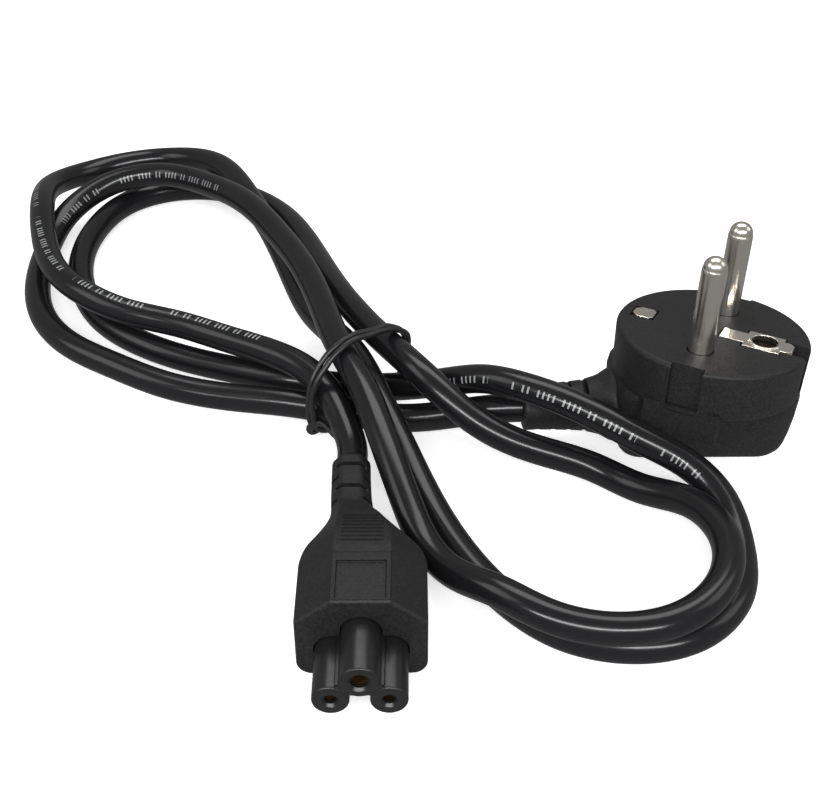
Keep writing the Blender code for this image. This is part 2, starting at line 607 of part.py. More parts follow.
def build():
    """Make every piece of the cord set."""
    clear_scene()
    plastic = material("black_vinyl_matte", (0.018, 0.018, 0.019), 0.62)
    hard = material("black_hard_plastic", (0.014, 0.014, 0.015), 0.33)
    brass = material("contact_brass", (0.72, 0.55, 0.28), 0.35, 1.0)
    nickel = material("nickel_plate", (0.78, 0.74, 0.68), 0.22, 1.0)
    bronze = material("socket_bronze", (0.45, 0.28, 0.14), 0.4, 1.0)
    vinyl = material("black_vinyl_gloss", (0.012, 0.012, 0.013), 0.22)
    coated = material("black_coated_wire", (0.015, 0.015, 0.016), 0.3)
    connector(plastic, hard, brass)
    plug(plastic, nickel, bronze)
    cord(vinyl)
    tie(coated)


build()
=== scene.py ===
# %% [markdown]
# # A cloverleaf power cord
# The object is a short mains lead. A moulded cloverleaf connector is on one end
# and a right-angle earthed plug is on the other. Its glossy round cord lies in
# crossing loops, and a thin coated tie holds them at the waist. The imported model
# gives every place and size. This lesson dresses it: each visible piece is
# rebuilt as a finer surface in the same place, and gets a material made of nodes.

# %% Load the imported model
import math

import bmesh
import bpy
import numpy as np
from mathutils import Matrix, Vector


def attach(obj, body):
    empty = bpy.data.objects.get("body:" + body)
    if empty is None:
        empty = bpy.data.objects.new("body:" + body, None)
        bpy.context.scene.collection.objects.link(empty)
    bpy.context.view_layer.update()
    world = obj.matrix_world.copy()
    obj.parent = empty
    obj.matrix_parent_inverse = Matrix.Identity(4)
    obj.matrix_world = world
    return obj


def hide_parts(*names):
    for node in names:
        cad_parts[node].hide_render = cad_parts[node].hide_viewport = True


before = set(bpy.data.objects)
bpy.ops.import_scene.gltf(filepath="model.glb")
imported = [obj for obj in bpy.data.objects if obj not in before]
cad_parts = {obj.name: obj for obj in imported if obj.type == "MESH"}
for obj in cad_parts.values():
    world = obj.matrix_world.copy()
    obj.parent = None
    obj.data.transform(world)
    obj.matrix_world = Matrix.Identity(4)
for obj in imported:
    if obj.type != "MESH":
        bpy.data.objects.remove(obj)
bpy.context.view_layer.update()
MM = 0.001
MIDDLE = np.array([0.03825, -0.04498, 0.0])  # middle of the layout, which is the row's origin
print("packed nodes:", ", ".join(sorted(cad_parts)))

# %% [markdown]
# ## Camera
# A photograph taken from close by shows strong perspective: the connector in
# front looks larger than the loops behind. Only a camera at the same distance
# and tilt gives that. It stands 175 mm above the floor and looks 37 degrees
# down, with a lens a little longer than normal.

# %% Camera
CAMERA_PLACE = np.array([0.010, -0.240, 0.1755]) - MIDDLE
CAMERA_TILT = 37.0  # degrees below the horizon
LENS = 60.8  # mm on a 36 mm wide sensor

camera_data = bpy.data.cameras.new("camera")
camera_data.lens = LENS
camera_data.sensor_width = 36.0
camera_data.clip_start = 0.01
camera = bpy.data.objects.new("camera", camera_data)
camera.location = CAMERA_PLACE
camera.rotation_euler = (math.radians(90.0 - CAMERA_TILT), 0.0, 0.0)
bpy.context.collection.objects.link(camera)
bpy.context.scene.camera = camera
print("camera at", [round(float(x), 4) for x in CAMERA_PLACE])

# %% [markdown]
# ## Surfaces from grids
# Nearly every moulded piece is a row of closed sections, one behind the other.
# So one helper turns an array of sections into a mesh: rows run along the piece
# and columns run round it. Coinciding points, as at a pole, are merged after.

# %% Skin over a grid of sections
def link_mesh(name, points, faces, smooth_angle=35.0):
    """A mesh object from points and faces, shaded smooth except at edges sharper than the angle."""
    mesh = bpy.data.meshes.new(name)
    mesh.from_pydata(np.asarray(points).tolist(), [], faces)
    mesh.polygons.foreach_set("use_smooth", np.ones(len(mesh.polygons), dtype=bool))
    mesh.update()
    mesh.set_sharp_from_angle(angle=math.radians(smooth_angle))
    obj = bpy.data.objects.new(name, mesh)
    bpy.context.collection.objects.link(obj)
    return obj


def grid_quads(rows, columns):
    """Corner numbers of every cell of a grid whose columns close on themselves.

    Cell (i, j) has the corners (i, j), (i, j+1), (i+1, j+1) and (i+1, j), where
    j+1 wraps to 0 and corner (i, j) is number i * columns + j.
    """
    i, j = np.meshgrid(np.arange(rows - 1), np.arange(columns), indexing="ij")
    n = (j + 1) % columns
    here, after = i * columns, (i + 1) * columns
    return np.stack([here + j, here + n, after + n, after + j], axis=-1).reshape(-1, 4).tolist()


def skin(sections):
    """Points and faces of a skin over sections, an array of (rows, columns, 3), capped flat at both ends."""
    rows, columns = sections.shape[:2]
    faces = grid_quads(rows, columns)
    faces.append(list(range(columns))[::-1])
    faces.append(list(range((rows - 1) * columns, rows * columns)))
    return sections.reshape(-1, 3), faces


def lathe(profile, segments):
    """Sections of a turned shape: the point (r, h) goes to (r cos a, r sin a, h) for every angle a."""
    profile = np.asarray(profile, dtype=float)
    a = np.linspace(0.0, 2 * np.pi, segments, endpoint=False)
    r = profile[:, 0, None]
    return np.stack([r * np.cos(a), r * np.sin(a), np.repeat(profile[:, 1, None], segments, axis=1)], axis=-1)


def placed(points, matrix):
    """Points in millimetres carried by a matrix in metres to the row frame."""
    m = np.array(matrix)
    return (np.asarray(points) * MM) @ m[:3, :3].T + m[:3, 3] - MIDDLE


print("grid helpers ready")

# %% [markdown]
# ## The cord's route
# A cord cannot be posed like a rigid rod: it is one fixed length of something
# springy. So the route is a list of given points, and a natural cubic spline
# runs through them. That curve has the least bending of all curves through
# the points, much as a real cord would settle. The heights matter as much as
# the plan, because they decide which strand lies over which.

# %% Points of the route, in millimetres
CORD_DIAMETER, CORD_STEP = 0.0058, 0.0009  # metres; the step is the spacing of the sheath's rings
CURVE_STEPS = 24  # steps between two points, before they are spaced evenly
EXIT = [(-1.793, -36.416, 8), (-1.816, -31.916, 8)]
ENTRY = [(26.5, -18.87, 8), (30.99, -18.56, 8)]
ROUTE = [
    # out of the connector, up over the two lowest passes and away to the left
    (-3.2, -26.2, 8.8), (-6.4, -18.6, 10.6), (-12, -10, 11.2), (-20, -3, 10.6), (-30, 4, 9.3), (-41, 10, 9),
    (-52, 14, 9.3), (-62, 20, 10), (-70, 29, 10),
    # outer left loop, over the other two, and back to the tie
    (-76, 43, 10), (-80, 60, 10.5), (-80.4, 75.8, 7.5), (-74.8, 85.6, 5.4), (-64.4, 91.7, 5.2),
    (-52.3, 91.3, 6.6), (-39.7, 81.8, 9.5), (-31, 66, 9.5), (-24, 50, 8.7), (-18, 33, 7.5), (-12, 16, 7.5),
    (-3.5, -2, 11), (2.5, -18, 11),
    # outer right loop, flat on the floor, then over the neck of the plug
    (8, -31, 7), (13, -43, 4), (19, -56, 3), (26, -67, 3), (35, -75, 3), (47, -78, 3), (58, -75, 3),
    (66, -66, 3), (68.4, -54, 3.4), (66.6, -44.4, 6.4), (60.8, -38, 9.6), (53.6, -34.8, 12.2),
    (46, -31, 14.5), (38, -26.4, 15.8), (31, -22.2, 15.8), (24, -17.3, 14.1), (16, -12, 9.5), (7, -9, 6.2),
    (-3, -7, 4.7), (-14, -5, 4.6),
    # inner left loop, on the floor
    (-26, 0, 3.5), (-38, 5, 3), (-49, 11, 3), (-59, 20, 3), (-66, 33, 3), (-69, 47, 3), (-68, 61, 3),
    (-62, 74.5, 3), (-51.5, 80.9, 3), (-39.7, 80.4, 3.2), (-28.6, 72.4, 4), (-19, 56, 6.5), (-12, 36, 9),
    (-5, 15, 12), (4, -4, 14),
    # inner right loop, crossing over the outer one
    (12, -17, 14.5), (22, -25, 9.5), (33, -29, 6), (44, -32, 4), (52.5, -38.4, 4), (60.4, -46.6, 7.5),
    (64.5, -57.4, 9), (62.8, -67.6, 9.2), (55.7, -76.1, 9), (44, -80, 9.2), (32, -77, 9.3), (24, -71, 9),
    (17, -64, 6.5), (12, -56, 6), (8, -46, 9), (4, -34, 13), (0, -22, 15.7), (-5, -9, 16.3), (-9, 5, 16),
    (-14, 21, 16), (-21, 37, 15.5),
    # middle left loop, under the outer one, and along the floor to the plug
    (-30, 53, 14.8), (-41, 66.2, 12.6), (-54, 74.2, 10.9), (-65.8, 73.2, 8.9), (-75, 64.6, 5.6),
    (-78, 50, 3.2), (-77, 35, 3), (-73, 22, 3), (-65, 11, 3), (-54, 3, 3), (-42, -4, 3), (-28, -9, 3.5),
    (-15, -13, 4.9), (-2, -16, 4.6), (8, -16.5, 3.8), (17, -17.5, 5.5),
]


def smooth_curve(points, spacing):
    """Evenly spaced points on a natural cubic spline.

    The bend at each point solves one row of a tridiagonal system: the slopes of
    the two neighbouring cubics agree there, and both ends are straight.
    """
    pts = np.asarray(points)
    t = np.concatenate([[0.0], np.cumsum(np.linalg.norm(np.diff(pts, axis=0), axis=1))])
    h = np.diff(t)
    n = len(pts)
    a = np.eye(n)
    a[np.arange(1, n - 1), np.arange(0, n - 2)] = h[:-1]
    a[np.arange(1, n - 1), np.arange(1, n - 1)] = 2 * (h[:-1] + h[1:])
    a[np.arange(1, n - 1), np.arange(2, n)] = h[1:]
    slope = np.diff(pts, axis=0) / h[:, None]
    b = np.zeros((n, 3))
    b[1:-1] = 6 * np.diff(slope, axis=0)
    bend = np.linalg.solve(a, b)
    x = np.linspace(0.0, 1.0, CURVE_STEPS, endpoint=False)[None, :, None] * h[:, None, None]
    y = h[:, None, None] - x
    k = h[:, None, None]
    m0, m1 = bend[:-1, None], bend[1:, None]
    fine = m0 * y**3 / (6 * k) + m1 * x**3 / (6 * k) + (pts[:-1, None] / k - m0 * k / 6) * y \
        + (pts[1:, None] / k - m1 * k / 6) * x
    fine = np.vstack([fine.reshape(-1, 3), pts[-1:]])
    run = np.concatenate([[0.0], np.cumsum(np.linalg.norm(np.diff(fine, axis=0), axis=1))])
    at = np.linspace(0.0, run[-1], int(round(run[-1] / spacing)) + 1)
    return np.stack([np.interp(at, run, fine[:, c]) for c in range(3)], axis=1), at


cord_line, cord_run = smooth_curve(np.array(EXIT + ROUTE + ENTRY) * MM, CORD_STEP)
cord_line = cord_line - MIDDLE

# %% [markdown]
# ## The cord's sheath
# The sheath is a circle carried along the route. If the circle simply faced
# along the path, it would spin where the path turns upwards. Instead each
# section is turned so that its first point faces up and towards the viewer.
# The same direction places the row of marks that such cords carry. The length
# and the angle are kept as a UV map, because the marks follow the surface.

# %% Sweep a round section along a path
FACING = np.array([0.05, -0.55, 0.83])


def path_frames(line):
    """Two unit vectors across the path at each point: one nearest to FACING, and one square to both."""
    along = np.gradient(line, axis=0)
    along /= np.linalg.norm(along, axis=1)[:, None]
    up = FACING - (along @ FACING)[:, None] * along
    up /= np.linalg.norm(up, axis=1)[:, None]
    return up, np.cross(along, up)


def sweep(name, line, radius, sides):
    """A tube: the point (s, a) is line(s) + r(s) * (up(s) cos a + side(s) sin a), closed by flat ends.

    The UV map holds the run along the line in metres, and the turn round it. Where
    a cell closes the ring, its turn goes on to 1 and does not fall back to 0.
    """
    up, side = path_frames(line)
    a = np.linspace(0.0, 2 * np.pi, sides, endpoint=False)[None, :, None]
    r = np.broadcast_to(radius, len(line))[:, None, None]
    tube = line[:, None] + r * (up[:, None] * np.cos(a) + side[:, None] * np.sin(a))
    points, faces = skin(tube)
    obj = link_mesh(name, points, faces, 60.0)
    run = np.concatenate([[0.0], np.cumsum(np.linalg.norm(np.diff(line, axis=0), axis=1))])
    uv = obj.data.uv_layers.new(name="run_and_turn")
    corner = np.zeros(len(obj.data.loops), dtype=np.int32)
    obj.data.loops.foreach_get("vertex_index", corner)
    turn = corner % sides / sides
    first = np.arange(len(corner)) // 4 * 4
    quads = len(corner) - 2 * sides
    wrap = np.zeros(len(corner))
    wrap[:quads] = (turn[:quads] == 0) & (turn[first[:quads]] > 0.5)
    co = np.stack([run[corner // sides], turn + wrap], axis=1).astype(np.float32)
    uv.data.foreach_set("uv", co.ravel())
    return obj


CORD_SIDES, TIE_SIDES = 28, 12
cord = sweep("cord_sheath", cord_line, CORD_DIAMETER / 2, CORD_SIDES)
print("cord sheath:", len(cord.data.polygons), "faces")

# %% [markdown]
# ## Cutting and softening
# Moulded parts are full of pockets, slots and lugs. Modelling those point by
# point is slow, so the main form is made first and Boolean modifiers then join
# and cut plain tools. Real moulded edges are never perfectly sharp: a narrow
# bevel on the main form catches the light and makes plastic look like plastic.
# The bevel comes before the fine cuts, because it spoils the thin faces that
# they leave. Weighted normals keep flat faces flat.

# %% Boolean and bevel helpers
WELD = 0.0000002  # edges shorter than this are dissolved, in metres
SHARP = math.radians(32.0)  # edges that turn more than this stay sharp, or are rounded
CONNECTOR_EDGE, PLUG_EDGE, METAL_EDGE = 0.14, 0.22, 0.1  # widths of the bevels, in mm
JOIN, CUT = "UNION", "DIFFERENCE"


def shape(obj, *steps, together=False):
    """Join or cut tools, each given as (JOIN, tool) or (CUT, tool), and keep the mesh.

    The tools go one by one, or, together, all unions at once and then all cuts.
    """
    batches = [(kind, [tool]) for kind, tool in steps]
    if together:
        batches = [(kind, [tool for other, tool in steps if other == kind])
                   for kind in (JOIN, CUT)]
    groups = []
    for operation, tools in batches:
        groups.append(bpy.data.collections.new("tools"))
        bpy.context.scene.collection.children.link(groups[-1])
        for tool in tools:
            groups[-1].objects.link(tool)
        modifier = obj.modifiers.new(operation.title(), "BOOLEAN")
        modifier.operation = operation
        modifier.solver = "EXACT"
        modifier.operand_type = "COLLECTION"
        modifier.collection = groups[-1]
    bpy.context.view_layer.update()
    result = bpy.data.meshes.new_from_object(obj.evaluated_get(bpy.context.evaluated_depsgraph_get()))
    obj.modifiers.clear()
    obj.data = result
    result.name = obj.name
    work = bmesh.new()
    work.from_mesh(result)
    bmesh.ops.dissolve_degenerate(work, edges=work.edges, dist=WELD)
    work.to_mesh(result)
    work.free()
    if "custom_normal" in result.attributes:  # normals from before the cut no longer fit
        result.attributes.remove(result.attributes["custom_normal"])
    result.polygons.foreach_set("use_smooth", np.ones(len(result.polygons), dtype=bool))
    result.set_sharp_from_angle(angle=SHARP)
    for _, tool in steps:
        bpy.data.objects.remove(tool, do_unlink=True)
    for group in groups:
        bpy.data.collections.remove(group)


def flat_shading(obj):
    """Let the largest faces decide the shading at each corner, so that flat faces stay flat."""
    weighted = obj.modifiers.new("flat_faces_stay_flat", "WEIGHTED_NORMAL")
    weighted.keep_sharp = True
    weighted.weight = 80


def soften(obj, width, segments=3, clamp=False):
    """Round every sharp edge by a width in millimetres."""
    bevel = obj.modifiers.new("moulded_edge", "BEVEL")
    bevel.width = width * MM
    bevel.segments = segments
    bevel.limit_method = "ANGLE"
    bevel.angle_limit = SHARP
    bevel.use_clamp_overlap = clamp
    flat_shading(obj)


def merged(points, faces):
    """Points and faces after coinciding points, such as those of a pole, become one."""
    keys = np.round(np.asarray(points) * 1e7).astype(np.int64)
    _, first, back = np.unique(keys, axis=0, return_index=True, return_inverse=True)
    back = back.ravel()
    tidy = []
    for face in faces:
        ring = [int(back[k]) for k in face]
        ring = [v for k, v in enumerate(ring) if v != ring[k - 1]]
        if len(set(ring)) > 2:
            tidy.append(ring)
    return np.asarray(points)[first], tidy


def solid(name, sections, matrix):
    """A closed mesh object from sections in millimetres, carried to its place."""
    points, faces = skin(sections)
    return link_mesh(name, *merged(placed(points, matrix), faces))


def prism(outline, low, high, matrix, name="prism"):
    """An outline in X and Y carried from one height to another."""
    ring = np.asarray(outline, dtype=float)
    sections = np.stack([np.column_stack([ring, np.full(len(ring), z)]) for z in (low, high)])
    return solid(name, sections, matrix)


def brick(low, high, matrix):
    """A box tool between two corners in millimetres."""
    (x0, y0, z0), (x1, y1, z1) = low, high
    return prism([(x0, y0), (x1, y0), (x1, y1), (x0, y1)], z0, z1, matrix, "brick")


def round_corners(corners, radii, steps=8):
    """Outline whose corners are arcs.

    Each arc's centre lies on its corner's bisector, at radius / sin(half the
    angle), and the arc turns evenly between the points that touch the sides.
    """
    c = np.asarray(corners, dtype=float)
    r = np.broadcast_to(np.asarray(radii, dtype=float), len(c))[:, None]
    before = np.roll(c, 1, axis=0) - c
    after = np.roll(c, -1, axis=0) - c
    before /= np.linalg.norm(before, axis=1)[:, None]
    after /= np.linalg.norm(after, axis=1)[:, None]
    half = np.arccos(np.clip((before * after).sum(axis=1), -1, 1))[:, None] / 2
    middle = before + after
    centre = c + middle / np.linalg.norm(middle, axis=1)[:, None] * r / np.sin(half)
    start = (c + before * r / np.tan(half) - centre)[:, None]
    end = (c + after * r / np.tan(half) - centre)[:, None]
    turn = (np.pi - 2 * half)[:, None]
    t = np.linspace(0.0, 1.0, steps)[None, :, None]
    arc = (start * np.sin((1 - t) * turn) + end * np.sin(t * turn)) / np.sin(turn)
    return (centre[:, None] + arc).reshape(-1, 2)


def ease(stations, at):
    """Rows of values between stations, on cubics that never swing past them.

    The first column is the position. The slope at a station is the harmonic mean
    of its neighbours' slopes, or level where they differ in sign.
    """
    s = np.asarray(stations, dtype=float)
    x, v = s[:, 0], s[:, 1:]
    h = np.diff(x)[:, None]
    d = np.diff(v, axis=0) / h
    product = d[:-1] * d[1:]
    total = d[:-1] + d[1:]
    inner = np.where(product > 0, 2 * product / np.where(total == 0, 1, total), 0.0)
    m = np.vstack([np.zeros((1, v.shape[1])), inner, np.zeros((1, v.shape[1]))])
    k = np.clip(np.searchsorted(x, at, side="right") - 1, 0, len(x) - 2)
    t = ((at - x[k]) / (x[k + 1] - x[k]))[:, None]
    hk = h[k]
    return (v[k] * (1 + 2 * t) * (1 - t)**2 + v[k + 1] * t**2 * (3 - 2 * t)
            + m[k] * hk * t * (1 - t)**2 - m[k + 1] * hk * t**2 * (1 - t))


print("shape, soften and section helpers ready")

# %% [markdown]
# ## Connector body
# The body is vinyl moulded straight over the insert and the cord. Its section
# has a flat base, upright sides, two sloping shoulders and a flat top. Towards
# the cord it draws in to the strain relief. So the section's sizes are given at
# a few stations along the body, and eased between them.

# %% Connector body
CONNECTOR = Matrix.Translation((1.4 * MM, -92.3 * MM, 0.0)) @ Matrix.Rotation(math.radians(0.3), 4, "Z")
NOSE_LENGTH, BODY_TOP, RELIEF_END, BODY_ROWS = 10.9, 16.9, 55.6, 72
# place, half width, shoulder height, half top, top, base, base radius, other radii, sway to the left
BODY_STATIONS = [
    (10.9, 10.9, 12.1, 4.85, 16.9, 0.0, 2.6, 0.6, 0.0),
    (24.0, 10.9, 12.1, 4.85, 16.9, 0.0, 2.6, 0.6, 0.0),
    (27.2, 10.45, 12.0, 4.75, 16.6, 0.1, 2.6, 0.7, 0.05),
    (29.7, 9.5, 11.8, 4.5, 16.1, 0.3, 2.6, 0.8, 0.2),
    (32.0, 8.1, 11.6, 4.15, 15.5, 0.5, 2.6, 0.9, 0.38),
    (33.8, 7.0, 11.4, 3.8, 14.9, 0.9, 2.5, 1.0, 0.62),
    (36.0, 5.7, 11.1, 3.4, 14.1, 1.5, 2.4, 1.1, 1.02),
    (39.1, 4.4, 10.4, 2.6, 12.8, 2.8, 2.2, 1.3, 1.75),
    (41.9, 3.85, 9.6, 2.0, 11.9, 4.2, 2.7, 1.6, 2.35),
    (45.9, 3.7, 9.5, 1.9, 11.7, 4.3, 2.9, 1.7, 2.65),
    (55.6, 3.6, 9.4, 1.85, 11.6, 4.4, 2.9, 1.7, 2.9),
]


def body_sections(at, inset):
    """Six-cornered sections at each place, drawn in evenly by the inset."""
    slope = 0.4  # a sloping side's ends move by this share of the inset
    rows = ease(BODY_STATIONS, at)
    sections = []
    for y, (half, side, top_half, top, base, base_radius, radius, sway), i in zip(at, rows, inset):
        corners = [(half - i, base + i), (half - i, side - slope * i), (top_half - slope * i, top - i),
                   (-top_half + slope * i, top - i), (-half + i, side - slope * i), (-half + i, base + i)]
        radii = [base_radius, radius, radius, radius, radius, base_radius]
        ring = round_corners(corners, np.maximum(radii - i * 0.5, 0.2))
        sections.append(np.column_stack([ring[:, 0] - sway, np.full(len(ring), y), ring[:, 1]]))
    return np.array(sections)


QUARTER = np.linspace(0.0, np.pi / 2, 6)  # a quarter turn in five steps
FRONT_ROUND, REAR_ROUND = 0.6, 1.1
body_at = np.concatenate([NOSE_LENGTH + FRONT_ROUND * (1 - np.cos(QUARTER)),
                          np.linspace(NOSE_LENGTH + 1.4, RELIEF_END - REAR_ROUND - 0.5, BODY_ROWS),
                          RELIEF_END - REAR_ROUND * (1 - np.sin(QUARTER))])
body_inset = np.concatenate([FRONT_ROUND * (1 - np.sin(QUARTER)), np.zeros(BODY_ROWS),
                             REAR_ROUND * (1 - np.cos(QUARTER))])
connector_body = solid("connector_shell", body_sections(body_at, body_inset)[:, ::-1], CONNECTOR)
print("connector shell:", len(connector_body.data.polygons), "faces")

# %% [markdown]
# The top carries a shallow framed panel and a patch of fine ribs for the
# fingers. The frame is a low pad that is joined on and then hollowed. Each rib
# is what stays between two grooves, and every groove follows the falling top.
# The slots of the strain relief cut in turn into the sides, and into top and
# bottom, which lets the neck bend evenly both ways.

# %% Panel, ribs and slots of the connector
PANEL_HALF, PANEL_START, PANEL_END, PANEL_RISE = 4.9, NOSE_LENGTH + 0.35, 22.3, 0.18
RECESS_HALF, RECESS_START, RECESS_END, RECESS_FLOOR = 4.1, 11.6, 20.5, BODY_TOP - 0.4
pad = brick((-PANEL_HALF, PANEL_START, RECESS_FLOOR),
            (PANEL_HALF, PANEL_END, BODY_TOP + PANEL_RISE), CONNECTOR)
recess = brick((-RECESS_HALF, RECESS_START, RECESS_FLOOR), (RECESS_HALF, RECESS_END, BODY_TOP + 1), CONNECTOR)
shape(connector_body, (JOIN, pad), (CUT, recess))
soften(connector_body, CONNECTOR_EDGE)

RIB_START, RIB_PITCH, RIB_COUNT, RIB_HALF = 25.2, 1.2, 8, 3.55
GROOVE_WIDE, GROOVE_DEEP, GROOVE_RUN, OVER_TOP = 0.5, 0.13, 0.6, 20.0
steps = []
for y in RIB_START + RIB_PITCH * np.arange(RIB_COUNT):
    low, high = ease(BODY_STATIONS, np.array([y, y + GROOVE_RUN]))[:, 3] - GROOVE_DEEP
    groove = np.array([(y, low), (y + GROOVE_WIDE, high), (y + GROOVE_WIDE, OVER_TOP), (y, OVER_TOP)])
    sections = np.stack([np.column_stack([np.full(4, x), groove]) for x in (-RIB_HALF, RIB_HALF)])
    steps.append((CUT, solid("groove", sections, CONNECTOR)))

RELIEF_AXIS, RELIEF_SWAY, CORE, REACH = 8.0, 2.67, 2.3, 6.0
SLOT_START, SLOT_PITCH, SLOT_WIDE = 42.0, 3.15, 1.05
for number, y in enumerate(SLOT_START + SLOT_PITCH * np.arange(4)):
    if number % 2:  # a slot from above and one from below
        spans = [((-REACH, CORE), (REACH, REACH)), ((-REACH, -REACH), (REACH, -CORE))]
    else:  # a slot from each side
        spans = [((CORE, -REACH), (REACH, REACH)), ((-REACH, -REACH), (-CORE, REACH))]
    for (x0, z0), (x1, z1) in spans:
        steps.append((CUT, brick((x0 - RELIEF_SWAY, y, RELIEF_AXIS + z0),
                                 (x1 - RELIEF_SWAY, y + SLOT_WIDE, RELIEF_AXIS + z1), CONNECTOR)))
shape(connector_body, *steps)
print("connector shell after cutting:", len(connector_body.data.polygons), "faces")

# %% [markdown]
# ## The cloverleaf nose
# The nose is a hard insert with three barrels, set like a clover leaf, so that
# it goes into its inlet one way round only. Each barrel is a turned shape and a
# flat web fills the space between them. The entry holes are countersunk, and
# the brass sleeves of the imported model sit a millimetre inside.

# %% Nose of the connector
PITCH_HALF, SIDE_HEIGHT, EARTH_HEIGHT = 4.65, 5.9, 10.0
BARRELS = [  # across, height, radius and radius of the hole
    (-PITCH_HALF, SIDE_HEIGHT, 3.05, 1.0), (PITCH_HALF, SIDE_HEIGHT, 3.05, 1.0),
    (0.0, EARTH_HEIGHT, 3.25, 1.45),
]
NOSE_BACK = NOSE_LENGTH + 3.0  # the insert goes on inside the body
BARREL_EDGE, COUNTERSINK, SLEEVE_START, SLEEVE_WALL, HOLE_END = 0.45, 0.42, 1.0, 0.75, 9.9


def along_connector(x, z):
    """Carries a lathe's height to the connector's length, at one contact."""
    return CONNECTOR @ Matrix.Translation((x * MM, 0.0, z * MM)) @ Matrix.Rotation(-math.pi / 2, 4, "X")


def barrel(x, z, radius, back):
    """A barrel whose front edge is a quarter round."""
    edge = BARREL_EDGE
    front = np.column_stack([radius - edge + edge * np.sin(QUARTER), edge - edge * np.cos(QUARTER)])
    profile = np.vstack([[(0.0, 0.0)], front, [(radius, back), (0.0, back)]])
    return solid("barrel", lathe(profile, 96), along_connector(x, z))


def contact_hole(x, z, radius):
    """A countersunk hole that widens to hold the sleeve."""
    mouth, wide = radius + COUNTERSINK, radius + SLEEVE_WALL
    profile = [(0, -1), (mouth, -1), (mouth, 0), (radius, COUNTERSINK), (radius, SLEEVE_START),
               (wide, SLEEVE_START), (wide, HOLE_END), (0, HOLE_END)]
    return solid("hole", lathe(profile, 64), along_connector(x, z))


def web_block(start, end, grow=1.0):
    """The web's outline carried along the connector, and widened by a factor."""
    return solid("web", np.stack([np.column_stack([WEB[:, 0] * grow, np.full(len(WEB), y), WEB[:, 1]])[::-1]
                                  for y in (start, end)]), CONNECTOR)


WEB = round_corners([(-4.6, 7.1), (4.6, 7.1), (4.6, 8.3), (2.7, 10.0), (-2.7, 10.0), (-4.6, 8.3)],
                    [0.3, 0.3, 0.3, 0.2, 0.2, 0.3], 5)
# the backs differ a little, because joining faces in one plane can fail
nose = barrel(*BARRELS[2][:3], NOSE_BACK)
nose.name = "connector_barrels"
steps = [(JOIN, barrel(*BARRELS[0][:3], NOSE_BACK - 0.1)), (JOIN, barrel(*BARRELS[1][:3], NOSE_BACK - 0.2)),
         (JOIN, web_block(0.12, NOSE_BACK - 0.4))]
KEY_INNER, KEY_OUTER, KEY_LOW, KEY_HIGH = 3.35, 3.85, 8.0, 9.35  # a small rib on each side
for low, high in ((-KEY_OUTER, -KEY_INNER), (KEY_INNER, KEY_OUTER)):
    steps.append((JOIN, brick((low, 0.35, KEY_LOW), (high, NOSE_BACK - 0.6, KEY_HIGH), CONNECTOR)))
steps += [(CUT, contact_hole(x, z, hole)) for x, z, _, hole in BARRELS]
shape(nose, *steps, together=True)
print("nose:", len(nose.data.polygons), "faces")

# %% [markdown]
# The insert does not grow out of the vinyl: a fine seam runs round it. So a
# pocket with the outline of the barrels and web, a little larger, is cut into
# the body's front face.

# %% Seam round the nose
SEAM, POCKET_START, POCKET_END = 0.22, 9.0, NOSE_LENGTH + 2.0
pocket = []
for x, z, radius, _ in BARRELS:
    ring = [(0, POCKET_START), (radius + SEAM, POCKET_START), (radius + SEAM, POCKET_END), (0, POCKET_END)]
    pocket.append((CUT, solid("seam", lathe(ring, 96), along_connector(x, z))))
pocket.append((CUT, web_block(POCKET_START, POCKET_END, 1.02)))
for step in pocket:
    shape(connector_body, step)
flat_shading(connector_body)
print("seam cut")

# %% [markdown]
# ## The plug
# The plug lies on its back with its pins up. Its round head leans away by a few
# degrees, so one matrix holds the face and another the grip and neck, which lie
# level. The head is turned on a lathe. The grip is a rounded box, drawn in
# towards its base so that it leaves the mould. The neck is turned too, and it
# flares where it meets the grip.

# %% Frames of the plug
FACE_CENTRE = Vector((67.6, -16.0, 24.8)) * MM
LEAN_RIGHT, LEAN_BACK = math.radians(3.4), math.radians(6.8)
CONTACT_YAW, CABLE_YAW = math.radians(-25.8), math.radians(4.0)
normal = Vector((math.sin(LEAN_RIGHT), math.sin(LEAN_BACK), 0.0))
normal.z = math.sqrt(1 - normal.length_squared)
earth_way = Vector((math.cos(CONTACT_YAW), math.sin(CONTACT_YAW), 0.0))
earth_way = (earth_way - normal * earth_way.dot(normal)).normalized()
FACE = Matrix.Translation(FACE_CENTRE) @ Matrix(
    (earth_way, normal.cross(earth_way), normal)).transposed().to_4x4()
CABLE = Matrix.Translation((FACE_CENTRE.x, FACE_CENTRE.y, 0.0)) @ Matrix.Rotation(CABLE_YAW, 4, "Z")
print("plug face looks along", [round(c, 3) for c in normal])

# %% Head, grip and neck
HEAD_RADIUS, HEAD_DEPTH, HEAD_EDGE, UNDER_EDGE, DRAFT = 18.6, 9.8, 0.9, 0.8, 0.3
t = np.linspace(0.0, np.pi / 2, 7)
rim = np.column_stack([HEAD_RADIUS + HEAD_EDGE * (np.cos(t) - 1), HEAD_EDGE * (np.sin(t) - 1)])
under = np.column_stack([HEAD_RADIUS - DRAFT + UNDER_EDGE * (np.sin(t) - 1),
                         -HEAD_DEPTH + UNDER_EDGE * (1 - np.cos(t))])
head_profile = np.vstack([[(0.0, -HEAD_DEPTH)], under, rim, [(0.0, 0.0)]])
plug_shell = solid("plug_shell", lathe(head_profile, 180), FACE)

